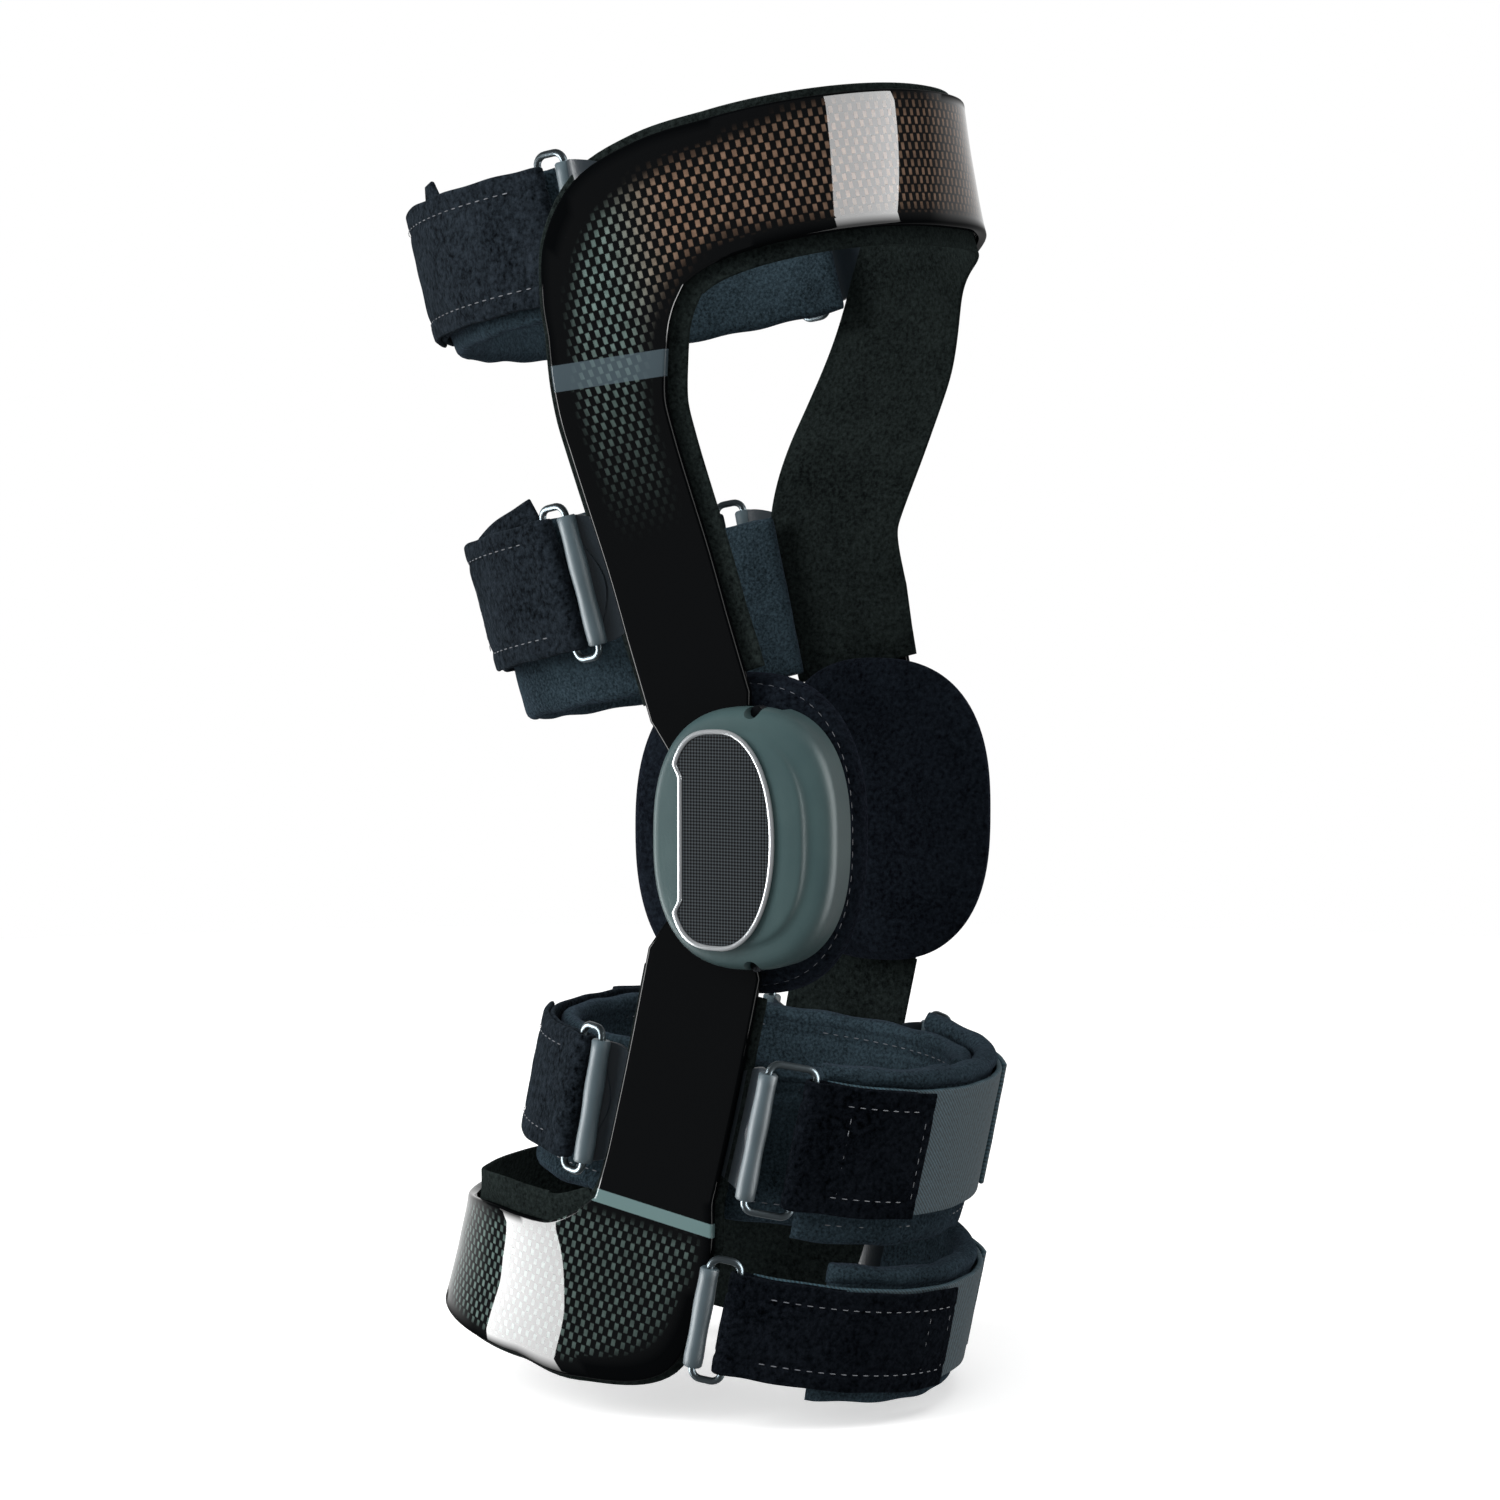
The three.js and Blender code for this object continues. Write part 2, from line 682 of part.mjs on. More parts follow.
// Each row is one pad inside a strap, or the wrap round the calf. `strap` is the strap round it, whose ring
// it fits inside at the lead middle. `width` is a share of that strap's, `slack` how far its side lies in from
// the tabs as a share of its wall, `back` its depth away from the lead as a share of the frame's, and
// `nearEnd` and `farEnd` are shares of the arm's width.
const padTable = [
  {
    name: "thigh_upper_pad", strap: "thigh_upper", up: 0.994, width: 1.075, wall: padWall, slack: 0.95,
    taper: 0.025, power: 2.2, rise: 0.115, nearEnd: 0.06, farEnd: -0.12, steps: 18,
  },
  {
    name: "thigh_lower_pad", strap: "thigh_lower", up: 0.363, width: 1.425, wall: padWall, slack: 0.42,
    taper: 0.09, power: 2.7, rise: 0.09, nearEnd: 0.47, farEnd: 0.47, steps: 18,
  },
  {
    name: "calf_wrap", strap: "calf_rear", up: 0.565, width: 1.263, wall: wrapWall, slack: 0.44,
    taper: 0, power: 2.4, rise: -0.135, back: 0.705, nearEnd: -2.15, farEnd: -1.95, steps: 30,
  },
  {
    name: "shin_upper_pad", strap: "shin_upper", up: 0.54, width: 1.385, wall: padWall, slack: -1.2,
    taper: 0, power: 2.3, rise: 0.037, nearEnd: 1.135, farEnd: 1.11, steps: 13,
  },
  {
    name: "shin_lower_pad", strap: "shin_lower", up: 0.914, width: 1.355, wall: padWall, slack: -0.95,
    taper: 0, power: 2.2, rise: 0, nearEnd: 1.51, farEnd: 1.19, steps: 12,
  },
];

// A row's ring in millimetres, at its height on its frame.
function ringSizes(row, frame, lead, width, side, depth, backDepth) {
  const up = row.up * frame.reach;
  const own = between(frame.form.rows, "up", up);
  const front = lead < 0 ? depth : backDepth ?? own.front;
  const rear = lead < 0 ? backDepth ?? own.rear : depth;
  const taper = row.taper * width;
  const rise = row.rise * width;
  return { up, lead, width, side: own.side + side, front, rear, power: row.power, taper, rise };
}

function addStrap(group, strap) {
  const frame = strap.frame;
  const depth = strap.depth * frame.depth;
  const sizes = ringSizes(strap, frame, strap.lead, strap.width, strap.beside * strapWall, depth);
  const form = ringForm(sizes);
  const rearward = strap.lead > 0;
  const wall = rearward ? strapWall : webbingWall;
  const facing = frame.form.lead === strap.lead ? frame.armWidth : -frame.armWidth;
  const seats = {};
  for (const [label, side] of [["near", near], ["far", far]]) {
    const places = strap[label];
    const plush = !rearward && side === near;
    const off = plush ? plushInner + plushWall / 2 : wall / 2;
    const seat = buckleSeat(form, sizes, side, places.bar * frame.armWidth, off);
    const onArm = { dip: places.dip * facing, end: places.end * facing };
    seats[label] = seat;
    group.add(meshOf(`${strap.name}_ring_${label}`, ringSolid(seat, strap.width), materials.steel));
    const tab = tabSolid(seat, strap.width, frame.form, side, onArm);
    group.add(meshOf(`${strap.name}_tab_${label}`, tab, materials.tab));
  }
  const nearEnd = strap.near.bar * frame.armWidth;
  const farEnd = strap.far.bar * frame.armWidth;
  const ends = { nearEnd: nearEnd + (rearward ? 0 : foldGap), farEnd };
  const path = roundPath(form, { ...sizes, ...ends }, rearward ? 20 : 14);
  const folds = rearward ? [seats.near, seats.far] : [seats.far];
  const solid = strapSolid(form, path, 0, wall, folds, strap.width);
  group.add(meshOf(`${strap.name}_strap`, solid, rearward ? materials.plush : materials.webbing));
  if (!rearward) addPlushEnd(group, strap, form, { ...sizes, nearEnd }, seats.near);
}

// A shin strap's plush end lies over its webbing from the near buckle to just short of the middle.
const plushInner = webbingWall + clearance;

function addPlushEnd(group, strap, form, sizes, seat) {
  const farEnd = form.quarter + strap.plushShort * strap.width;
  const path = roundPath(form, { ...sizes, farEnd }, 10);
  const plush = strapSolid(form, path, plushInner, plushWall, [seat], strap.width);
  group.add(meshOf(`${strap.name}_strap_end`, plush, materials.plush));
}

// A pad that crosses an arm lies inside the tabs there.
const tabInner = linerInner - tabGap - tabWall;

function addPad(group, pad, strap) {
  const frame = strap.frame;
  const width = pad.width * strap.width;
  const depth = strap.depth * frame.depth - padGap - pad.wall;
  const side = tabInner - (1 + pad.slack) * pad.wall;
  const back = pad.back ? pad.back * calfFront : depth;
  const sizes = ringSizes(pad, frame, strap.lead, width, side, depth, back);
  const ends = { nearEnd: pad.nearEnd * frame.armWidth, farEnd: pad.farEnd * frame.armWidth };
  const form = ringForm(sizes);
  const path = roundPath(form, { ...sizes, ...ends }, pad.steps);
  group.add(meshOf(pad.name, ribbon(form, path, paddedSection(0, pad.wall)), materials.pad));
}

// Hinges

const ovalSides = 20;

// An upright oval ring of points at `x`.
function oval(x, rear, front, bottom, top, power) {
  const points = [];
  for (let i = 0; i < ovalSides; i++) {
    const angle = ((i + 0.5) / ovalSides) * 360 * degree;
    const c = Math.cos(angle);
    const s = Math.sin(angle);
    const radius = (Math.abs(c) ** power + Math.abs(s) ** power) ** (-1 / power);
    const y = (rear + front) / 2 + (radius * c * (rear - front)) / 2;
    const z = (top + bottom) / 2 + (radius * s * (top - bottom)) / 2;
    points.push(new THREE.Vector3(x, y, z));
  }
  return points;
}

// The layers of a hinge, outwards from the knee's centre.
const plateInner = kneeHalfWidth - clearance - plateThickness;
const coverInner = kneeHalfWidth + frameWall + clearance;
const coverOuter = coverInner + coverDepth;
const condyleOuter = plateInner - clearance;

function plateSolid(side) {
  const shape = new THREE.Shape();
  shape.absarc(0, pivotSpacing / 2, plateRadius, 0, Math.PI, false);
  shape.absarc(0, -pivotSpacing / 2, plateRadius, Math.PI, 2 * Math.PI, false);
  const plate = new THREE.ExtrudeGeometry(shape, {
    depth: plateThickness,
    bevelEnabled: false,
    curveSegments: 8,
  });
  const place = new THREE.Matrix4().makeBasis(
    new THREE.Vector3(0, 1, 0),
    new THREE.Vector3(0, 0, 1),
    new THREE.Vector3(1, 0, 0),
  );
  plate.applyMatrix4(place);
  plate.translate(side > 0 ? plateInner : -plateInner - plateThickness, 0, 0);
  let solid = toSolid(plate);
  for (const level of [-pivotSpacing / 2, pivotSpacing / 2]) {
    const foot = new THREE.Vector3(side * (plateInner + plateThickness / 2), 0, level);
    const head = new THREE.Vector3(side * (coverInner - clearance), 0, level);
    solid = solid.add(rod(foot, head, pinRadius, pinSides));
  }
  return solid;
}

// A cover narrows outwards, its front side most. Shares of the depth, the width and the height.
const coverRows = [
  { out: 0, width: 1, height: 1, back: 0 },
  { out: 0.3, width: 1, height: 1, back: 0 },
  { out: 0.62, width: 0.93, height: 0.98, back: 0 },
  { out: 0.88, width: 0.84, height: 0.95, back: 0.01 },
  { out: 1, width: 0.76, height: 0.9, back: 0.04 },
];

function coverSolid(side) {
  const width = side === near ? coverWidth : farCoverWidth;
  const ring = (x, row) => {
    const half = (coverHeight / 2) * row.height;
    const rear = coverRear - row.back * width;
    return oval(side * x, rear, coverRear - width * row.width, -half, half, 2.5);
  };
  const cap = skin(coverRows.map((row) => ring(coverInner + row.out * coverDepth, row)));
  const seat = skin([plateInner, coverInner + clearance].map((x) => ring(x, coverRows[0])));
  const hollow = new THREE.BoxGeometry(coverDepth * 4, coverWidth * 2, coverHeight * 2);
  hollow.translate(side * kneeHalfWidth, coverWidth - coverSkirt, 0);
  return cap.add(seat.subtract(toSolid(hollow)));
}

function badgeSolid(side) {
  const rear = badgeWidth / 2 - badgeForward;
  const stepHalf = badgeHeight * 0.3;
  const rings = [0, badgeThickness].map((out) => {
    const x = side * (coverOuter + clearance + out);
    const half = badgeHeight / 2;
    return oval(x, rear, rear - badgeWidth, -half, half, 2.4).map((point) => {
      if (Math.abs(point.z) < stepHalf) point.y = Math.min(point.y, rear - badgeStep);
      return point;
    });
  });
  return skin(rings);
}

// A condyle pad is flat outside and domed inside. Shares of the thickness and the outline.
const condyleRows = [
  { inward: 0, outline: 0.87 },
  { inward: 0.15, outline: 0.94 },
  { inward: 0.4, outline: 0.99 },
  { inward: 0.65, outline: 1 },
  { inward: 0.87, outline: 0.88 },
  { inward: 1, outline: 0.66 },
];

function condyleSolid(side) {
  return skin(
    condyleRows.map((row) => {
      const halfWidth = (condyleWidth / 2) * row.outline;
      const halfHeight = (condyleHeight / 2) * row.outline;
      const x = side * (condyleOuter - row.inward * condyleThickness);
      return oval(x, halfWidth - condyleForward, -halfWidth - condyleForward, -halfHeight, halfHeight, 2.5);
    }),
  );
}

// The whole brace

const brace = new THREE.Group();
const thigh = new THREE.Group();
thigh.position.set(0, 0, pivotSpacing / 2);
thigh.rotation.x = -thighLean * degree;
const calf = new THREE.Group();
calf.position.set(0, 0, -pivotSpacing / 2);
calf.rotation.x = calfLean * degree;
const hinge = new THREE.Group();
brace.add(thigh, hinge, calf);

thigh.add(meshOf("thigh_frame", frameSolid(thighForm, thighLine, thighArmWidth, 1), materials.laminate));
const thighLiner = linerSolid(thighForm, thighLine, thighSizes, linerFront, linerRear, linerRear);
thigh.add(meshOf("thigh_liner", thighLiner, materials.suede));
calf.add(meshOf("calf_frame", frameSolid(calfForm, calfLine, calfArmWidth, -1), materials.laminate));
const calfLiner = linerSolid(calfForm, calfLine, calfSizes, calfLinerEdge, calfLinerEdge, shellLinerRise);
calf.add(meshOf("calf_liner", calfLiner, materials.suede));

for (const strap of strapTable) {
  const group = strap.frame === thighSizes ? thigh : calf;
  addStrap(group, strap);
  for (const pad of padTable.filter((row) => row.strap === strap.name)) addPad(group, pad, strap);
}

for (const [label, side] of [["near", near], ["far", far]]) {
  hinge.add(meshOf(`hinge_plate_${label}`, plateSolid(side), materials.steel));
  hinge.add(meshOf(`hinge_cover_${label}`, coverSolid(side), materials.cover));
  hinge.add(meshOf(`hinge_badge_${label}`, badgeSolid(side), materials.badge));
  hinge.add(meshOf(`condyle_pad_${label}`, condyleSolid(side), materials.pad));
}

export default brace;
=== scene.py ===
import math

import bpy
import numpy as np
from mathutils import Matrix, Vector


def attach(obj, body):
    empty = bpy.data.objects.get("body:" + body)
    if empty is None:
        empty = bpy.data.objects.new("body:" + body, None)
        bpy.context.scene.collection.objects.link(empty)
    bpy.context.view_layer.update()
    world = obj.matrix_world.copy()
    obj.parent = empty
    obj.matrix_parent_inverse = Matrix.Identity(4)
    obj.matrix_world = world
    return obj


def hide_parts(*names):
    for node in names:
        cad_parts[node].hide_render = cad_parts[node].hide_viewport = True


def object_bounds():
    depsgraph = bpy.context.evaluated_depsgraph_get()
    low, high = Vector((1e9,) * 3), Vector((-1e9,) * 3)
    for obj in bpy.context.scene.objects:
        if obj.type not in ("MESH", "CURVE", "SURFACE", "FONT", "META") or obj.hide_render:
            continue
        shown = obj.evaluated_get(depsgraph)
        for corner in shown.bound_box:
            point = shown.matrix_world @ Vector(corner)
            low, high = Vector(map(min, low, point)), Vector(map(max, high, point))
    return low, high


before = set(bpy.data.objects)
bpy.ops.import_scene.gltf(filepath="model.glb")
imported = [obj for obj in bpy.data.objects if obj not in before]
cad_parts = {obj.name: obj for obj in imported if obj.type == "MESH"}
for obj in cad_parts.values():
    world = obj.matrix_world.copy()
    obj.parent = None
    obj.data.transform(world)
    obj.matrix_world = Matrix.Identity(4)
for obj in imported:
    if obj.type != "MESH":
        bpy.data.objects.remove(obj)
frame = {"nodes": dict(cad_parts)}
cad_low, cad_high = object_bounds()

# Camera and studio
# The brace stands on a white sweep, seen from its near side and a little above. Two softboxes, which only
# polish mirrors, give the hard-edged streaks on the laminate. Two soft lamps fill the cloth.
CAMERA_PLACE = (-1.20983, -0.56415, 0.11679)
CAMERA_AIM = (0.89862, 0.43290, -0.07124)
CAMERA_LENS = 105.17
SENSOR_WIDTH = 36
FLOOR_RADIUS = 1.3
FLOOR_GAP = 0.004
SWEEP_EDGE = (0.45, 0.93)  # cosines to the camera's aim where the mirrored room turns into the sweep
ROOM_LIGHT = 0.1
SWEEP_LIGHT = 0.9
MATT_LIGHT = 0.45  # the sweep lights matt surfaces less than it looks, so that the lamps shape them


def linear(hexa):
    """A scene-linear colour from an sRGB hex value such as "4d5a72"."""
    channels = [int(hexa[i:i + 2], 16) / 255 for i in (0, 2, 4)]
    return tuple(c / 12.92 if c <= 0.04045 else ((c + 0.055) / 1.055) ** 2.4 for c in channels) + (1.0,)


def fill(tree, node, settings=None, links=None):
    """Sets a node's values, on sockets or on the node itself, and links sockets or first outputs into it."""
    for key, value in (settings or {}).items():
        if isinstance(key, int) or key in node.inputs:
            node.inputs[key].default_value = value
        else:
            setattr(node, key, value)
    for key, source in (links or {}).items():
        tree.links.new(source.outputs[0] if hasattr(source, "outputs") else source, node.inputs[key])
    return node


def add(tree, kind, settings=None, links=None):
    """A new node with its settings and links."""
    return fill(tree, tree.nodes.new(kind), settings, links)


def new_material(name):
    """A new material, its node tree and its shader."""
    material = bpy.data.materials.new(name)
    material.use_nodes = True
    return material, material.node_tree, material.node_tree.nodes["Principled BSDF"]


def placed(name, data, place, way):
    """A camera or lamp at a place, looking one way."""
    made = bpy.data.objects.new(name, data)
    made.location = place
    made.rotation_mode = "QUATERNION"
    made.rotation_quaternion = Vector(way).to_track_quat("-Z", "Y")
    bpy.context.scene.collection.objects.link(made)
    return made


def softbox(name, to_right, elevation, distance, size, power, glossy_only):
    """A soft rectangular light, `to_right` degrees right of the camera as seen from the brace."""
    back = -Vector(CAMERA_AIM)
    back.z = 0
    back.normalize()
    right = Vector((0, 0, 1)).cross(back)
    turn, rise = math.radians(to_right), math.radians(elevation)
    way = (back * math.cos(turn) + right * math.sin(turn)) * math.cos(rise) + Vector((0, 0, math.sin(rise)))
    data = bpy.data.lights.new(name, "AREA")
    data.shape = "RECTANGLE"
    data.size, data.size_y = size
    data.energy = power
    lamp = placed(name, data, way * distance, -way)
    lamp.visible_camera = False
    lamp.visible_diffuse = not glossy_only
    lamp.visible_glossy = glossy_only


camera_data = bpy.data.cameras.new("camera")
camera_data.lens = CAMERA_LENS
camera_data.sensor_width = SENSOR_WIDTH
bpy.context.scene.camera = placed("camera", camera_data, CAMERA_PLACE, CAMERA_AIM)
bpy.context.scene.view_settings.view_transform = "Standard"

softbox("front_streak", 75, 2, 1.1, (0.78, 1.5), 44, True)
softbox("rear_streak", -88, -14, 1.1, (0.6, 0.75), 26, True)
softbox("top_fill", 10, 62, 1.5, (1.2, 1.2), 8, False)
softbox("side_fill", -62, 20, 1.5, (0.8, 1.2), 21, False)

world = bpy.data.worlds.new("studio")
bpy.context.scene.world = world
world.use_nodes = True
studio = world.node_tree
studio.nodes.clear()
# Polished surfaces see the white sweep behind the brace and a dim room elsewhere.
ray = add(studio, "ShaderNodeLightPath")
toward = add(studio, "ShaderNodeTexCoord")
aim = {"operation": "DOT_PRODUCT", 1: CAMERA_AIM}
behind = add(studio, "ShaderNodeVectorMath", aim, {0: toward.outputs["Generated"]})
fade = {1: SWEEP_EDGE[0], 2: SWEEP_EDGE[1], 3: ROOM_LIGHT - 1, 4: SWEEP_LIGHT - 1}
dimmed = add(studio, "ShaderNodeMapRange", fade, {0: behind.outputs["Value"]})
glossy = {0: ray.outputs["Is Glossy Ray"], 1: dimmed}
mirrored = add(studio, "ShaderNodeMath", {"operation": "MULTIPLY_ADD", 2: 1.0}, glossy)
diffuse = {0: ray.outputs["Is Diffuse Ray"], 2: mirrored}
light = add(studio, "ShaderNodeMath", {"operation": "MULTIPLY_ADD", 1: MATT_LIGHT - 1}, diffuse)
sky = add(studio, "ShaderNodeBackground", {"Color": (1, 1, 1, 1)}, {"Strength": light})
add(studio, "ShaderNodeOutputWorld", links={"Surface": sky})

bpy.ops.object.select_all(action="DESELECT")
under = (0, 0, cad_low.z - FLOOR_GAP)
bpy.ops.mesh.primitive_circle_add(vertices=64, radius=FLOOR_RADIUS, fill_type="NGON", location=under)
floor = bpy.context.object
floor.name = "floor"
# Matt white paper. It glows a little, so that it stays white under the brace.
paper, paper_tree, paper_shader = new_material("white_sweep")
fill(paper_tree, paper_shader, {"Base Color": linear("f8f8f8"), "Roughness": 0.9, "Specular IOR Level": 0.0,
                                "Emission Color": (1, 1, 1, 1), "Emission Strength": 0.5})
floor.data.materials.append(paper)
floor.visible_diffuse = floor.visible_glossy = floor.visible_shadow = False

# Form of the leg
# Every rigid and soft piece but the hinges is laid on a form of the leg: outlines of half-widths by height,
# on which a place is given by its run round the leg and its height, in millimetres.
KNEE_HALF_WIDTH = 56.6
PIVOT_HALF_SPACING = 13.0
LEANS = {"thigh": (-15.0, PIVOT_HALF_SPACING), "calf": (12.0, -PIVOT_HALF_SPACING)}
OUTLINE_STEPS = 96
CURVE_STEPS = 800
GROOVE_SHARE = 0.03  # half-width of a pressed seam, as a share of the band's width
END_ANGLES = (90, 65, 40, 20)  # degrees of the stations that round a band's ends
MM = 0.001


class LegForm:
    """Rows of half-widths by height. `lead` is the middle a run crosses: -1 the front, 1 the rear."""

    def __init__(self, rows, lead, level):
        self.rows = sorted(rows, key=lambda row: row["up"])
        self.lead = lead
        self.quarter = self.outlines(np.array([level]), np.array([True]))[0][0, -1]

    def value(self, key, up):
        """A row value at a height, eased smoothly from row to row."""
        level, value = (np.array([row[name] for row in self.rows], float) for name in ("up", key))
        slope = np.gradient(value, level)
        i = np.clip(np.searchsorted(level, up) - 1, 0, len(level) - 2)
        gap = level[i + 1] - level[i]
        t = np.clip((up - level[i]) / gap, 0, 1)
        blend = t * t * (3 - 2 * t)
        bend = gap * (slope[i] * t * (1 - t) ** 2 - slope[i + 1] * t * t * (1 - t))
        return value[i] + (value[i + 1] - value[i]) * blend + bend

    def outlines(self, up, leading):
        """Quarter outlines at each height, from the side line: distance along, x, y, and the way out."""
        side, power = self.value("side", up)[:, None], self.value("power", up)[:, None]
        keys = ("front", "rear") if self.lead < 0 else ("rear", "front")
        depth = np.where(leading, self.value(keys[0], up), self.value(keys[1], up))[:, None]
        angle = np.linspace(0, math.pi / 2, OUTLINE_STEPS + 1)[None, :]
        across, along = np.cos(angle).clip(0) / side, np.sin(angle) / depth
        radius = (across ** power + along ** power) ** (-1 / power)
        x, y = radius * np.cos(angle), radius * np.sin(angle)
        nx, ny = across ** (power - 1) / side, along ** (power - 1) / depth
        size = np.hypot(nx, ny)
        steps = np.hypot(np.diff(x), np.diff(y))
        distance = np.concatenate([np.zeros((len(steps), 1)), np.cumsum(steps, 1)], 1)
        return distance, x, y, nx / size, ny / size

    def place(self, run, up, off):
        """Points `run` round from the lead middle, at height `up`, `off` outside the form."""
        run, up, off = (np.asarray(v, float) for v in np.broadcast_arrays(run, up, off))
        shape = run.shape
        run, up, off = run.ravel(), up.ravel(), off.ravel()
        side = np.where(run < 0, -1.0, 1.0)
        inside = self.quarter - np.abs(run)
        leading = inside >= 0
        distance, *values = self.outlines(up, leading)
        stretch = np.where(leading, (distance[:, -1] - self.quarter) * (inside / self.quarter) ** 2, 0)
        want = np.clip(np.abs(inside) + stretch, 0, distance[:, -1] - 1e-9)
        i = np.argmax(distance > want[:, None], 1) - 1
        n = np.arange(len(i))
        share = (want - distance[n, i]) / (distance[n, i + 1] - distance[n, i])
        x, y, nx, ny = (v[n, i] + (v[n, i + 1] - v[n, i]) * share for v in values)
        size = np.hypot(nx, ny)
        facing = np.where(leading, self.lead, -self.lead)
        points = np.stack([side * (x + nx / size * off), facing * (y + ny / size * off), up], -1)
        return points.reshape(shape + (3,))

    def run_at(self, side, toward):
        """The run of a place on the near or far side, `toward` the lead middle from the side line."""
        return side * (self.quarter - toward)


def in_row_frame(points, body):
    """Millimetres in a half's own frame to metres in the row frame."""
    lean, height = LEANS[body]
    turn = np.array(Matrix.Rotation(math.radians(lean), 3, "X"))
    return (points @ turn.T + np.array([0, 0, height])) * MM


def curve_point(points, share):
    """A place on the smooth centripetal curve through points, at a share of its parameter."""
    last = len(points) - 1
    spot = min(share, 1 - 1e-9) * last
    i = int(spot)
    weight = spot - i
    p1, p2 = points[i], points[i + 1]
    p0 = points[i - 1] if i > 0 else 2 * p1 - p2
    p3 = points[i + 2] if i + 2 <= last else 2 * p2 - p1
    gaps = [math.sqrt(math.dist(a, b)) for a, b in ((p0, p1), (p1, p2), (p2, p3))]
    if gaps[1] < 1e-4:
        gaps[1] = 1.0
    gaps = [gap if gap >= 1e-4 else gaps[1] for gap in gaps]
    start = (p1 - p0) / gaps[0] - (p2 - p0) / (gaps[0] + gaps[1]) + (p2 - p1) / gaps[1]
    end = (p2 - p1) / gaps[1] - (p3 - p1) / (gaps[1] + gaps[2]) + (p3 - p2) / gaps[2]
    start, end = start * gaps[1], end * gaps[1]
    bend = 2 * p1 - 2 * p2 + start + end
    slope = -3 * p1 + 3 * p2 - 2 * start - end
    return ((bend * weight + slope) * weight + start) * weight + p1


def curve_points(rows, count):
    """That many points along the smooth curve through rows."""
    rows = np.array(rows, float)
    return np.array([curve_point(rows, share) for share in np.linspace(0, 1, count)])


def smooth_path(rows, steps):
    """Evenly spaced stations (run, up, low, high) along the smooth curve through rows."""
    rows = np.array(rows, float)
    shares = np.linspace(0, 1, CURVE_STEPS + 1)
    line = curve_points(rows[:, :2], CURVE_STEPS + 1)
    length = np.concatenate([[0], np.cumsum(np.hypot(*np.diff(line, axis=0).T))])
    even = np.interp(np.linspace(0, length[-1], steps + 1), length, shares)
    return np.array([[*curve_point(rows[:, :2], s), *curve_point(rows[:, 2:], s)] for s in even])


def rounded_section(inner, outer, columns, radius, crown=0.0, groove=0.0, groove_at=0.14):
    """The closed outline across a band: (share across, shift along its width, offset) for each point. `crown`
    swells both faces, and `groove` presses a seam into them, at a share of the width from each edge."""
    face = np.linspace(0, 1, columns + 1)
    from_edge = np.minimum(face, 1 - face)
    pressed = groove * np.exp(-((from_edge - groove_at) / GROOVE_SHARE) ** 2)
    relief = crown * (1 - (2 * face - 1) ** 6) - pressed
    arc = np.linspace(0, math.pi, 9)[1:-1]
    middle = (inner + outer) / 2
    half = (outer - inner) / 2 - radius
    top = [(share, 0.0, outer + rise) for share, rise in zip(face, relief)]
    under = [(share, 0.0, inner - rise) for share, rise in zip(face, relief)][::-1]
    edges = [(radius * math.sin(a), middle + radius * math.cos(a) + math.copysign(half, math.cos(a)))
             for a in arc]
    high = [(1.0, shift, off) for shift, off in edges]
    low = [(0.0, -shift, off) for shift, off in edges[::-1]]
    return top + high + under + low, radius, middle


def select_only(piece=None):
    bpy.ops.object.select_all(action="DESELECT")
    if piece:
        piece.select_set(True)
        bpy.context.view_layer.objects.active = piece


def tidy_mesh(piece, smooth_angle=50):
    """Merges doubles, turns the faces outwards and shades the piece smooth up to an angle."""
    select_only(piece)
    piece.matrix_world = Matrix.Identity(4)
    bpy.ops.object.mode_set(mode="EDIT")
    bpy.ops.mesh.select_all(action="SELECT")
    bpy.ops.mesh.remove_doubles(threshold=1e-6)
    bpy.ops.mesh.normals_make_consistent(inside=False)
    bpy.ops.object.mode_set(mode="OBJECT")
    bpy.ops.object.shade_smooth_by_angle(angle=math.radians(smooth_angle))


def mesh_from_grid(name, points, maps=None):
    """A piece from a primitive grid that is laid on rows of points, in metres, each row closed on itself."""
    points = np.concatenate([points, points[:, :1]], 1)
    rows, columns = points.shape[:2]
    select_only()
    bpy.ops.mesh.primitive_grid_add(x_subdivisions=columns - 1, y_subdivisions=rows - 1, size=1)
    piece = bpy.context.object
    piece.name = piece.data.name = name
    mesh = piece.data
    mesh.vertices.foreach_set("co", points.reshape(-1))
    corners = np.zeros(len(mesh.loops), np.int32)
    mesh.loops.foreach_get("vertex_index", corners)
    while mesh.uv_layers:
        mesh.uv_layers.remove(mesh.uv_layers[0])
    for key, uv in (maps or {}).items():
        uv = np.concatenate([uv, uv[:, :1]], 1)
        mesh.uv_layers.new(name=key).data.foreach_set("uv", uv.reshape(-1, 2)[corners].reshape(-1))
    tidy_mesh(piece)
    return piece


def wander(run, up):
    """How far soft cloth strays from its even form, from -1 to 1: waves that never quite repeat."""
    slow = np.sin(0.083 * run + 0.05 * up + 1.3) + 0.6 * np.sin(0.19 * run - 0.15 * up + 0.4)
    return (slow + 0.35 * np.sin(0.47 * run + 0.31 * up) + 0.3 * np.sin(0.71 * up - 0.38 * run + 2)) / 2.25


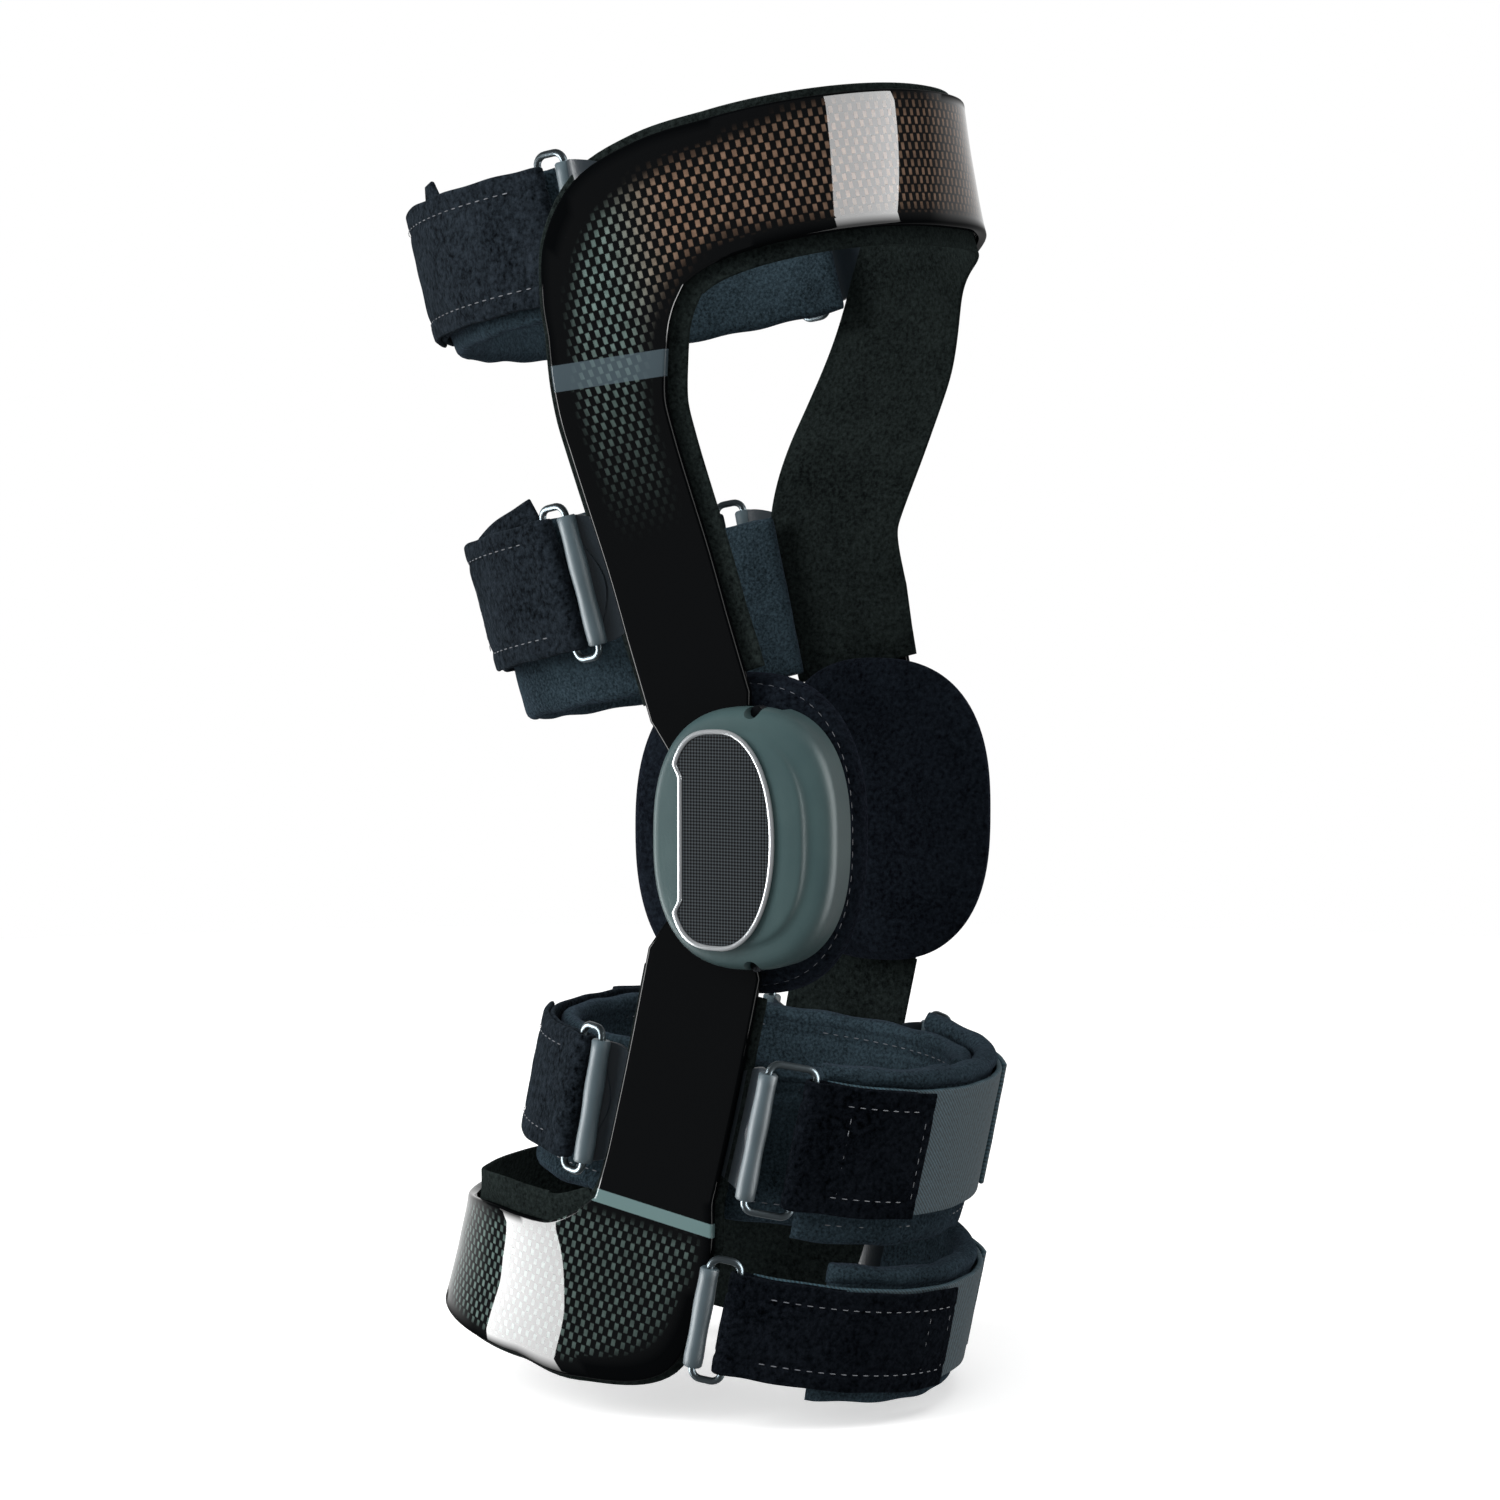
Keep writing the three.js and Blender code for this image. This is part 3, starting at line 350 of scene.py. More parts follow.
def laid_band(name, form, body, path, section, marks=None, soft=0.0):
    """A closed band of the section's outline along a path on a form. Each station is (run, up, low, high),
    with its offset and its lean out of the form where the band folds. `soft` is how far the cloth strays."""
    outline, radius, middle = section
    if path.shape[1] == 4:
        ahead = np.concatenate([path[1:], path[-1:]])[:, :2] - np.concatenate([path[:1], path[:-1]])[:, :2]
        along = ahead / np.hypot(*ahead.T)[:, None]
        path = np.concatenate([path, np.zeros((len(path), 2))], 1)
    else:
        along = np.tile([1.0, 0.0], (len(path), 1))
    turns = np.radians(END_ANGLES)
    starts = [(0, -radius * math.sin(turn), math.cos(turn)) for turn in turns]
    ends = [(len(path) - 1, radius * math.sin(turn), math.cos(turn)) for turn in turns[::-1]]
    rings = starts + [(i, 0.0, 1.0) for i in range(len(path))] + ends
    index, shift, flat = (np.array(column) for column in zip(*rings))
    shift, flat = shift[:, None], flat[:, None]
    share, slide, off = (np.array(v)[None, :] for v in zip(*outline))
    station, way = path[index], along[index]
    low, high, lift, lean = (station[:, i:i + 1] for i in (2, 3, 4, 5))
    across = (-low + radius) + share * (low + high - 2 * radius) + slide
    strays = soft * wander(station[:, :1], station[:, 1:2] + across)
    across = across + 0.5 * soft * np.sin(0.31 * station[:, :1] + 1.5 * share)
    thick = middle + (off - middle) * flat + strays
    run = station[:, :1] - way[:, 1:] * across + way[:, :1] * shift * np.cos(lean) - np.sin(lean) * thick
    up = station[:, 1:2] + way[:, :1] * across + way[:, 1:] * shift
    points = in_row_frame(form.place(run, up, lift + shift * np.sin(lean) + np.cos(lean) * thick), body)
    maps = {"cloth": np.stack([run, up], -1) * MM}
    if marks is not None:
        maps["marks"] = marks(run, up, across / ((low + high) / 2))
    return mesh_from_grid(name, points, maps)


def finished(piece, material, body, replaced=()):
    """Gives a finished piece its material, its body and the CAD nodes that it stands for."""
    piece.data.materials.clear()
    piece.data.materials.append(material)
    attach(piece, body)
    if replaced:
        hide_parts(*replaced)


# Rigid frames
# Each is one band of woven laminate under clear resin, moulded over a leg form and polished: over the front
# of the thigh, and behind the calf. The weave shows in the broad parts and sinks into black at the edges.
FRAME_WALL = 3.0
FRAME_STEPS = 220
ARM_END_RADIUS = 12.2
ARM_END_START = 0.387  # radians
CORNER_REACH = 62.0
CORNER_OUTSET = 14.0
TURN_FROM = 0.7  # share of the reach at which an arm starts to turn into its band
EASE_FROM = 30
EASE_REACH = 12
EASE_SPREAD = 5.0
SHELL_DIP = 6.5
SHELL_DIP_RUN = (18, 66)
CALF_FRONT = 80.0

# `half` is the leg's half-width at the band. `liner` is how much wider the liner is than the frame, in mm: at
# its lower edge, at its upper edge along an arm, and at its upper edge in the middle of the band.
THIGH = dict(body="thigh", reach=168.0, depth=93.0, half=82.5, arm=34.0, band=40.0, far_sweep=80.0,
             liner=(5, 3, 3))
CALF = dict(body="calf", reach=-139.0, depth=84.5, half=60.5, arm=37.0, band=43.0, far_sweep=CORNER_REACH,
            liner=(2, 2, 9))

# Columns: height as a share of the reach, share of the widening from the knee, share of the depth, power.
THIGH_ROWS = [
    (0.24, 0, 0.93, 7), (0.32, 0.035, 0.93, 7), (0.44, 0.11, 0.93, 6.4), (0.53, 0.23, 0.93, 5.4),
    (0.64, 0.46, 0.93, 4.2), (0.7, 0.64, 0.93, 3.4), (0.79, 0.85, 0.935, 2.8), (0.88, 0.96, 0.945, 2.4),
    (1, 1, 0.975, 2.15), (1.18, 1.02, 1.015, 2.1),
]
CALF_ROWS = [
    (1.16, 1, 1, 2.1), (1, 1, 0.98, 2.15), (0.86, 0.95, 0.945, 2.6), (0.74, 0.8, 0.93, 3.6),
    (0.62, 0.45, 0.93, 5), (0.5, 0.15, 0.93, 6), (0.38, 0, 0.93, 7),
]

# Columns: height as a share of the reach, way towards the band, outset and inset as shares of the corner's.
NEAR_THIGH_ARM = [
    (0.3, -0.016, 0, 0), (0.52, -0.012, 0, 0), (0.63, 0.012, 0, 0), (0.7, 0.05, 0, 0),
    (0.79, 0.145, 0.05, 0), (0.85, 0.215, 0.22, 0), (0.9, 0.3, 0.42, 0), (0.945, 0.41, 0.42, 0),
    (0.98, 0.6, 0.2, 0), (1, 0.9, 0, 0),
]
FAR_THIGH_ARM = [
    (0.3, 0.005, 0, 0.1), (0.46, 0, 0.05, 0.2), (0.54, 0.075, 0.1, 0.3), (0.62, 0.175, 0.1, 0.35),
    (0.7, 0.285, 0.1, 0.3), (0.785, 0.4, 0.05, 0.2), (0.87, 0.51, 0, 0.05), (0.94, 0.65, 0, 0),
    (0.985, 0.84, 0, 0), (1, 1.08, 0, 0),
]
CALF_ARM = [
    (0.3, 0, 0, 0), (0.5, 0, 0, 0), (0.67, 0, 0, 0), (0.79, 0.02, 0.3, 0), (0.89, 0.17, 1, 0),
    (0.965, 0.4, 0.35, 0), (0.99, 0.66, 0, 0), (1, 1, 0, 0),
]

# Columns: height over the pivot in end radii, share of the widening from the round end to the arm.
ARM_FLARE = [(0, 0), (1.0, 0.05), (1.7, 0.66), (2.1, 1)]


def leg_half(table, sizes, lead, open_depth):
    """The form of half the leg. `open_depth` is its depth on the side that the frame leaves open."""
    rows = []
    for up, spread, depth, power in table:
        side = KNEE_HALF_WIDTH + spread * (sizes["half"] - KNEE_HALF_WIDTH)
        covered = depth * sizes["depth"]
        front, rear = (covered, open_depth) if lead < 0 else (open_depth, covered)
        rows.append({"up": up * sizes["reach"], "side": side, "power": power, "front": front, "rear": rear})
    return LegForm(rows, lead, sizes["reach"])


def turned_at(share):
    """How far an arm has turned into its band, from 0 to 1."""
    return np.clip((share - TURN_FROM) / (1 - TURN_FROM), 0, 1)


def arm_line(sizes, side, rows, sweep):
    line = []
    for share, toward, outset, inset in rows:
        half = (sizes["arm"] + (sizes["band"] - sizes["arm"]) * turned_at(share)) / 2
        outer, inner = half + outset * CORNER_OUTSET, half + inset * CORNER_OUTSET
        low, high = (inner, outer) if sizes["form"].lead < 0 else (outer, inner)
        line.append((sizes["form"].run_at(side, toward * sweep), share * sizes["reach"], low, high))
    return line


def frame_line(sizes, near_rows, far_rows):
    half = sizes["band"] / 2
    near_line = arm_line(sizes, -1, near_rows, CORNER_REACH)
    far_line = arm_line(sizes, 1, far_rows, sizes["far_sweep"])
    return smooth_path(near_line + [(0, sizes["reach"], half, half)] + far_line[::-1], FRAME_STEPS)


def arm_end(sizes, side):
    """The round end of an arm about its pivot, flaring to the full width."""
    way = math.copysign(1, sizes["reach"])
    round_part = -np.cos(np.linspace(ARM_END_START, math.pi / 2, 8))
    flared_part = np.linspace(0.2, ARM_FLARE[-1][0], 9)
    rows = []
    for up in np.concatenate([round_part, flared_part]):
        widening = (sizes["arm"] / 2 - ARM_END_RADIUS) * np.interp(up, *zip(*ARM_FLARE))
        half = ARM_END_RADIUS * math.sqrt(1 - min(up, 0) ** 2) + widening
        rows.append((sizes["form"].run_at(side, 0), way * up * ARM_END_RADIUS, half, half))
    return rows


def smoothstep(low, high, value):
    share = np.clip((value - low) / (high - low), 0, 1)
    return share * share * (3 - 2 * share)


def eased_line(line, start):
    """A line whose bends past a run are rounded off, over about 12 mm each way."""
    reach = np.arange(-EASE_REACH, EASE_REACH + 1)
    weights = np.exp(-(reach / EASE_SPREAD) ** 2)
    longer = np.concatenate([line[:1]] * EASE_REACH + [line] + [line[-1:]] * EASE_REACH)
    eased_rows = sum(longer[EASE_REACH + k:EASE_REACH + k + len(line)] * w for k, w in zip(reach, weights))
    return np.where(line[:, :1] > start, eased_rows / weights.sum(), line)


THIGH["form"] = leg_half(THIGH_ROWS, THIGH, -1, THIGH["depth"])
CALF["form"] = leg_half(CALF_ROWS, CALF, 1, CALF_FRONT)
THIGH["line"] = eased_line(frame_line(THIGH, NEAR_THIGH_ARM, FAR_THIGH_ARM), EASE_FROM)
CALF["line"] = frame_line(CALF, CALF_ARM, CALF_ARM)
CALF["line"][:, 3] -= SHELL_DIP * (1 - smoothstep(*SHELL_DIP_RUN, np.abs(CALF["line"][:, 0])))

# How the weave shows. Runs and heights are in mm, and shares across go from 0 in the middle to 1 at the rim.
SIDE_RUN = 117.0  # from the middle of a band to the side line of the leg
NEAR_SIDE_RUN = -0.05  # in metres, past which a place is on the near side
WEAVE_WIDE = 1.6 * MM
WEAVE_TALL = 2.5 * MM
RIM_FROM = 0.955
BAND_RUN = (45, 95)  # over which the band's broad weave narrows to the arms'
WARM_RUN = (98, 124)
THIGH_SUNK = (76, 146)
INNER_FADE = ((0.42, 0.78), (0.57, 0.9))  # shares across on an arm and on the band
OUTER_FADE = ((0.36, 0.66), (0.7, 0.96))
SHELL_RUN = (52, 104)
SHELL_SUNK = (-105, -110)
SHELL_FADE = (0.7, 0.95)


def rimmed(shown, across):
    """The weave's strength, set to -1 on the cut rim, where the polish ends."""
    return np.where(np.abs(across) > RIM_FROM, -1.0, shown)


def edge_fade(limits, banded, across):
    """1 in the middle to 0 at an edge, between the limits of an arm and those of the band."""
    low, high = (on_arm + (on_band - on_arm) * banded for on_arm, on_band in zip(*limits))
    return 1 - smoothstep(low, high, across)


def thigh_marks(run, up, across):
    """(how strongly the weave shows, how warm it looks) on the thigh band and its arms."""
    banded = 1 - smoothstep(*BAND_RUN, np.abs(run))
    faded = edge_fade(INNER_FADE, banded, -across) * edge_fade(OUTER_FADE, banded, across)
    warm = 1 - smoothstep(*WARM_RUN, np.abs(run))
    return np.stack([rimmed(faded * smoothstep(*THIGH_SUNK, up), across), warm], -1)


def calf_marks(run, up, across):
    """The same on the calf shell, which has no warm part."""
    sunk = 1 - 0.5 * smoothstep(*SHELL_RUN, np.abs(run))
    faded = sunk * (1 - smoothstep(*SHELL_FADE, np.abs(across))) * smoothstep(*SHELL_SUNK, up)
    return np.stack([rimmed(faded, across), np.zeros_like(up)], -1)


def woven_laminate(name, height, slope, half_width, tone, cover):
    """Woven carbon laminate under polished resin: squares of fibre catch the light in turn, deep in black,
    and the resin mirrors the softboxes. A pale stripe across the near arm is a painted reflection line."""
    material, tree, shader = new_material(name)
    cloth = add(tree, "ShaderNodeUVMap", {"uv_map": "cloth"})
    marks = add(tree, "ShaderNodeUVMap", {"uv_map": "marks"})
    where = add(tree, "ShaderNodeSeparateXYZ", links={0: cloth})
    shown = add(tree, "ShaderNodeSeparateXYZ", links={0: marks})
    run, up = where.outputs[0], where.outputs[1]
    threads = []
    for place, size in ((run, WEAVE_WIDE), (up, WEAVE_TALL)):
        angle = add(tree, "ShaderNodeMath", {"operation": "MULTIPLY", 1: math.pi / size}, {0: place})
        wave = add(tree, "ShaderNodeMath", {"operation": "SINE"}, {0: angle})
        threads.append(add(tree, "ShaderNodeMapRange", {1: -0.5, 2: 0.5, 3: -1.0, 4: 1.0}, {0: wave}))
    check = add(tree, "ShaderNodeMath", {"operation": "MULTIPLY"}, {0: threads[0], 1: threads[1]})
    square = add(tree, "ShaderNodeMapRange", {1: 0.15, 2: 1.0}, {0: check})
    patchy = add(tree, "ShaderNodeTexNoise", {"Scale": 260.0, "Detail": 2.0}, {"Vector": cloth})
    uneven = add(tree, "ShaderNodeMapRange", {1: 0.3, 2: 0.7, 3: 0.45, 4: 1.0}, {0: patchy})
    strength = add(tree, "ShaderNodeMath", {"operation": "MULTIPLY"}, {0: square, 1: shown.outputs[0]})
    strength = add(tree, "ShaderNodeMath", {"operation": "MULTIPLY"}, {0: strength, 1: uneven})
    warmth = {"data_type": "RGBA", 6: linear("6c807b"), 7: linear("8a6f5c")}
    fibre = add(tree, "ShaderNodeMix", warmth, {0: shown.outputs[1]})
    black = {"data_type": "RGBA", 6: linear("050607")}
    woven = add(tree, "ShaderNodeMix", black, {0: strength, 7: fibre.outputs[2]})
    # Painted reflection: a pale stripe across the near arm that stands in for a reflected line of light.
    side_line = add(tree, "ShaderNodeMath", {"operation": "ADD", 1: SIDE_RUN * MM}, {0: run})
    level = add(tree, "ShaderNodeMath", {"operation": "MULTIPLY_ADD", 1: slope}, {0: side_line, 2: up})
    middle = add(tree, "ShaderNodeMath", {"operation": "SUBTRACT", 1: height * MM}, {0: level})
    away = add(tree, "ShaderNodeMath", {"operation": "ABSOLUTE"}, {0: middle})
    edge = {1: (half_width - 0.2) * MM, 2: half_width * MM, 3: cover, 4: 0.0}
    painted_reflection_stripe = add(tree, "ShaderNodeMapRange", edge, {0: away})
    near_side = add(tree, "ShaderNodeMath", {"operation": "LESS_THAN", 1: NEAR_SIDE_RUN}, {0: run})
    painted_reflection_stripe = add(tree, "ShaderNodeMath", {"operation": "MULTIPLY"}, {0: painted_reflection_stripe, 1: near_side})
    painted_reflection_tone = {"data_type": "RGBA", 7: linear(tone)}
    colour = add(tree, "ShaderNodeMix", painted_reflection_tone, {0: painted_reflection_stripe, 6: woven.outputs[2]})
    polish = add(tree, "ShaderNodeMapRange", {1: -1.0, 2: 0.0, 3: 0.12, 4: 1.0}, {0: shown.outputs[0]})
    resin = {"Roughness": 0.6, "Specular IOR Level": 0.0, "Coat Roughness": 0.02, "Coat IOR": 1.42}
    fill(tree, shader, resin, {"Base Color": colour.outputs[2], "Coat Weight": polish})
    return material


# Columns: frame, weave, then the painted reflection stripe's height, slope and half-width, its tone and how
# much it covers.
for sizes, marks, *painted_reflection_stripe in (
    (THIGH, thigh_marks, 123.6, 0.13, 3.9, "5c6c74", 0.55),
    (CALF, calf_marks, -102.0, 0.0, 2.1, "6b8484", 0.85),
):
    name = sizes["body"]
    whole = np.array(arm_end(sizes, -1) + list(sizes["line"]) + arm_end(sizes, 1)[::-1])
    section = rounded_section(0, FRAME_WALL, 14, 0.9)
    band = laid_band(f"{name}_band", sizes["form"], name, whole, section, marks)
    finished(band, woven_laminate(f"woven_laminate_{name}", *painted_reflection_stripe), name, [f"{name}_frame"])

# Suede liners
# A thin foam liner faced with suede sits inside each frame and both its arms. It is held by hook-and-loop,
# and stands a few millimetres proud of the frame's edges.
LINER_WALL = 1.4
LINER_GAP = 0.9
LINER_INNER = -LINER_GAP - LINER_WALL
LINER_START = 32.0


def cloth_shader(name, dark, light, scale, bump, sheen, tint):
    """A short matt pile: two tones of dye in soft patches, a fine nap that stands up, and a pale sheen."""
    material, tree, shader = new_material(name)
    place = add(tree, "ShaderNodeTexCoord").outputs["Object"]
    patch = add(tree, "ShaderNodeTexNoise", {"Scale": 45.0, "Detail": 3.0}, {"Vector": place})
    fine = {"Scale": scale, "Detail": 3.0, "Roughness": 0.65}
    nap = add(tree, "ShaderNodeTexNoise", fine, {"Vector": place})
    both = add(tree, "ShaderNodeMath", {"operation": "MULTIPLY_ADD", 1: 0.35}, {0: patch, 2: nap})
    share = add(tree, "ShaderNodeMapRange", {1: 0.45, 2: 0.9}, {0: both})
    dyes = {"data_type": "RGBA", 6: linear(dark), 7: linear(light)}
    colour = add(tree, "ShaderNodeMix", dyes, {0: share})
    relief = add(tree, "ShaderNodeBump", {"Strength": bump, "Distance": 0.0008}, {"Height": nap})
    pile = {"Roughness": 0.95, "Specular IOR Level": 0.0, "Sheen Weight": sheen, "Sheen Roughness": 0.5,
            "Sheen Tint": linear(tint)}
    fill(tree, shader, pile, {"Base Color": colour.outputs[2], "Normal": relief})
    return material


# Brushed synthetic suede, black-green: the nap shows as a soft grey bloom, and nothing mirrors in it.
suede = cloth_shader("brushed_suede", "080b0b", "272e2d", 800.0, 0.7, 0.1, "8fa09c")

for sizes in (THIGH, CALF):
    name, way = sizes["body"], math.copysign(1, sizes["reach"])
    lower, upper, upper_middle = sizes["liner"]
    half = sizes["arm"] / 2
    ends = [(sizes["form"].run_at(side, 0), way * LINER_START, half, half) for side in (-1, 1)]
    past = [row for row in sizes["line"] if abs(row[1]) > LINER_START + ARM_END_RADIUS]
    path = np.array([ends[0], *past, ends[1]])
    path[:, 2] += lower
    path[:, 3] += upper + (upper_middle - upper) * turned_at(path[:, 1] / sizes["reach"])
    near_end, far_end = (np.linspace(path[i], path[i + 1], 6) for i in (0, -2))
    steps = np.concatenate([near_end[:-1], path[1:-1], far_end[1:]])
    section = rounded_section(LINER_INNER, LINER_INNER + LINER_WALL, 8, 0.6)
    liner = laid_band(f"{name}_lining", sizes["form"], name, steps, section)
    finished(liner, suede, name, [f"{name}_liner"])

# Straps and their buckles
# Each strap is loop-faced elastic, folded back on itself round a bar of a wire D-ring at each end and sewn.
# The ring hangs from a moulded tab, which is rolled round its other bar and tucked in under the frame.
STRAP_WALL = 4.0
LAYER_WALL = 1.8
WEBBING_WALL = 2.0
PLUSH_WALL = 3.0
PLUSH_LAYER = 1.6
PLUSH_INNER = WEBBING_WALL + 0.3
WIRE_RADIUS = 1.1
WIRE_SIDES = 14
FOLD_RADIUS = 2.15
FOLD_REACH = 8.0  # over which a layer comes in to the bar it folds round
FOLD_STEP = 1.6
FLAT_STEP = 2.0
FLAT_LEAN = 0.9  # cosine of the lean up to which the under layer counts as flat
RING_REACH = 9.0
RING_OVERHANG = 3.0
SLEEVE_RADIUS = 2.9
SLEEVE_BORE = 1.3
SLEEVE_SIDES = 28
TAB_WALL = 1.4
TAB_INNER = -1.95  # between the frame and the liner
TAB_INSET = 0.3
TAB_STEPS = 21
TAB_LEVELS = 25
TAB_TRIMS = (0.02, 0.1, 0.24)  # how much narrower a tab is past its rolled edge, as shares of its width
FACE_EXTENT = (0.02, 0.1)  # of a tab's raised face at its edges, as shares of the tab's length
FACE_BOW = 0.3
FACE_BOW_FROM, FACE_BOW_WIDTH = 0.1, 0.75
FACE_LIFT = 0.15
FACE_WALL = 0.5
PAD_GAP = 0.6
PAD_OUTER = LINER_INNER - PAD_GAP - TAB_WALL
RIB_PITCH = 1.3 * MM
TAPE_START = 4.0
TAPE_BACK = 36.0
TAPE_PINCH = 0.1
PLUSH_UNDER = 30.0
STITCH_LENGTH = 2.1
STITCH_GAP = 1.5
STITCH_RADIUS = 0.17
STITCH_FROM_EDGE = 5.6
STITCH_LIFT = 0.05
SEAM_FROM_BAR = 8.0
SEAM_FROM_FREE = 3.0
PLUSH_SEAM_FROM_BAR = 9.0
PLUSH_SEAM_FROM_FREE = 2.0
OFF_SEAM = (0.3, 0.2, 0.9)  # a way that no seam follows

# Shares as in the part's own table. In mm, `back` is how far the folded ends reach back from the buckles,
# `flap` is where the under layer's top edge stands up by the near buckle (from, to, and its height at both),
# and `box` is how far before its free end a plush end is sewn across.
STRAPS = [
    dict(name="thigh_upper", frame=THIGH, lead=1, up=1.006, width=40.0, depth=0.785, beside=-2.1,
         taper=0.025, power=2.2, rise=0.175, near=(0.1, -0.36, -0.85), far=(-0.12, -0.485, -0.85),
         back=(88, 80), flap=(41, 47, 5.5, 4.5)),
    dict(name="thigh_lower", frame=THIGH, lead=1, up=0.411, width=40.0, depth=0.876, beside=0.4, taper=0.1,
         power=2.5, rise=0.125, near=(1.04, 0.64, 0.27), far=(1.12, 0.69, 0.27), back=(47, 47),
         flap=(3, 34, 7.5, 0.5)),
    dict(name="calf_rear", frame=CALF, lead=1, up=0.525, width=38.0, depth=0.763, beside=0.8, taper=-0.026,
         power=2.4, rise=-0.16, near=(0.946, 0.61, 0.27), far=(0.946, 0.61, 0.27), back=(46, 46)),
    dict(name="shin_upper", frame=CALF, lead=-1, up=0.504, width=39.0, depth=0.816, beside=1.1, taper=-0.026,
         power=2.3, rise=0, near=(1.108, 0.61, 0.27), far=(0.973, 0.61, 0.27), plush_short=0.72, box=25,
         reach=14),
    dict(name="shin_lower", frame=CALF, lead=-1, up=0.914, width=31.0, depth=0.9, beside=0.8, taper=0,
         power=2.25, rise=0.03, near=(0.86, 0.45, 0.05), far=(1.05, 0.66, 0.25), plush_short=0.32, box=11),
]


def ring_sizes(row, frame, lead, width, side, depth, back_depth=None):
    up = row["up"] * frame["reach"]
    own = {key: float(frame["form"].value(key, up)) for key in ("side", "front", "rear")}
    front = depth if lead < 0 else back_depth or own["front"]
    rear = depth if lead > 0 else back_depth or own["rear"]
    return {"up": up, "lead": lead, "width": width, "side": own["side"] + side, "front": front, "rear": rear,
            "power": row["power"], "taper": row["taper"] * width, "rise": row["rise"] * width}


def ring_form(sizes):
    rows = []
    for edge in (-0.5, 0.5):
        side = sizes["side"] + edge * sizes["taper"]
        rows.append({**sizes, "up": sizes["up"] + edge * sizes["width"], "side": side})
    return LegForm(rows, sizes["lead"], sizes["up"])


def rise_at(form, sizes, run):
    reached = 1 - np.abs(run) / form.quarter
    return sizes["up"] + sizes["rise"] * np.sin(reached * math.pi / 2)


def round_path(form, sizes, start, end, steps):
    run = np.linspace(start, end, steps + 1)
    half = np.full_like(run, sizes["width"] / 2)
    none = np.zeros_like(run)
    return np.stack([run, rise_at(form, sizes, run), half, half, none, none], -1)


def eased(level, target, along):
    """A layer's offset as it nears the bar it folds round."""
    return level + (target - level) * 0.5 * (1 + np.cos(math.pi * np.minimum(along / FOLD_REACH, 1)))


def fold(bar, way, back, outer, centre):
    """(run, offset) from a free end to a bar and half round it. `way` leads from the bar to the free end."""
    along = np.linspace(back, 0, max(int(back / FOLD_STEP), 8))
    line = list(zip(bar + way * along, eased(outer, centre + FOLD_RADIUS, along)))
    for angle in np.linspace(math.pi / 2, 1.5 * math.pi, 11)[1:-1]:
        line.append((bar + way * FOLD_RADIUS * math.cos(angle), centre + FOLD_RADIUS * math.sin(angle)))
    return line


def folded_path(form, sizes, start, end, inner, outer, centre, near_back, far_back):
    """One band: its near free end, round the near bar, on to the far bar and back to its far free end."""
    near_fold = fold(start, 1, near_back, outer, centre) if near_back else []
    far_fold = fold(end, -1, far_back, outer, centre)[::-1] if far_back else []
    run = np.linspace(start, end, max(int((end - start) / FLAT_STEP), 8))
    near_away = run - start if near_back else np.full_like(run, np.inf)
    far_away = end - run if far_back else np.full_like(run, np.inf)
    under = eased(inner, centre - FOLD_RADIUS, np.minimum(near_away, far_away))
    line = np.array([*near_fold, *zip(run, under), *far_fold])
    ahead = np.gradient(line, axis=0)
    lean = np.unwrap(np.arctan2(ahead[:, 1], ahead[:, 0]))
    half = np.full(len(line), sizes["width"] / 2)
    return np.stack([line[:, 0], rise_at(form, sizes, line[:, 0]), half, half, line[:, 1], lean], -1)


def unit(vector):
    return vector / np.linalg.norm(vector)


def buckle_seat(form, sizes, side, toward, off):
    """A buckle's strap bar: its place, the way the strap leaves it, the way up along it and the way out."""
    run = form.run_at(side, toward)
    level = rise_at(form, sizes, run)
    spot = form.place(run, level, off)
    along = unit(form.place(run - side, rise_at(form, sizes, run - side), off) - spot)
    above = form.place(run, level + 1, off) - spot
    up = unit(above - along * above.dot(along))
    out = np.cross(along, up)
    return {"spot": spot, "along": along, "up": up, "out": out * np.sign(out[0] * side)}


def seat_point(seat, along, up, out=0.0):
    return seat["spot"] + seat["along"] * along + seat["up"] * up + seat["out"] * out


def ring_wire(name, seat, width, reach, body):
    """A D-ring: round wire along a rounded rectangle, from the strap's bar to the tab's."""
    line = []
    for up, first in ((1, 0), (1, 90), (-1, 180), (-1, 270)):
        middle = -RING_OVERHANG if first in (0, 270) else RING_OVERHANG - reach
        for angle in np.radians(np.linspace(first, first + 90, 7)):
            across = up * width / 2 + RING_OVERHANG * math.sin(angle)
            line.append((middle + RING_OVERHANG * math.cos(angle), across))
    line = np.array(line + line[:1])
    parts = []
    for start, end in zip(line[:-1], line[1:]):
        steps = max(1, int(math.dist(start, end) / 3))
        parts += [start + (end - start) * i / steps for i in range(steps)]
    centres = np.array([seat_point(seat, *part) for part in parts])
    ahead = np.roll(centres, -1, 0) - np.roll(centres, 1, 0)
    ahead /= np.linalg.norm(ahead, axis=1)[:, None]
    aside = np.cross(ahead, seat["out"])
    angle = np.linspace(0, 2 * math.pi, WIRE_SIDES, endpoint=False)[None, :, None]
    points = centres[:, None] + WIRE_RADIUS * (aside[:, None] * np.cos(angle) + seat["out"] * np.sin(angle))
    return mesh_from_grid(name, in_row_frame(np.concatenate([points, points[:1]]), body))


def sleeve_tube(name, seat, width, reach, body):
    """The tab's rolled edge: a tube round the ring's outer bar, with eased ends."""
    half = width / 2 - TAB_INSET
    rows = [(-half, SLEEVE_BORE), (-half, SLEEVE_RADIUS - 0.4), (-half + 0.5, SLEEVE_RADIUS)]
    levels = np.linspace(-half + 3, half - 3, 15)
    rows += [(level, SLEEVE_RADIUS + 0.12 * math.sin(level * 0.35)) for level in levels]
    rows += [(-up, radius) for up, radius in rows[2::-1]] + [(half, SLEEVE_BORE), (-half, SLEEVE_BORE)]
    turn = [(math.cos(a), math.sin(a)) for a in np.linspace(0, 2 * math.pi, SLEEVE_SIDES, endpoint=False)]
    points = [[seat_point(seat, -reach + r * c, up, r * s) for c, s in turn] for up, r in rows]
    return mesh_from_grid(name, in_row_frame(np.array(points), body))


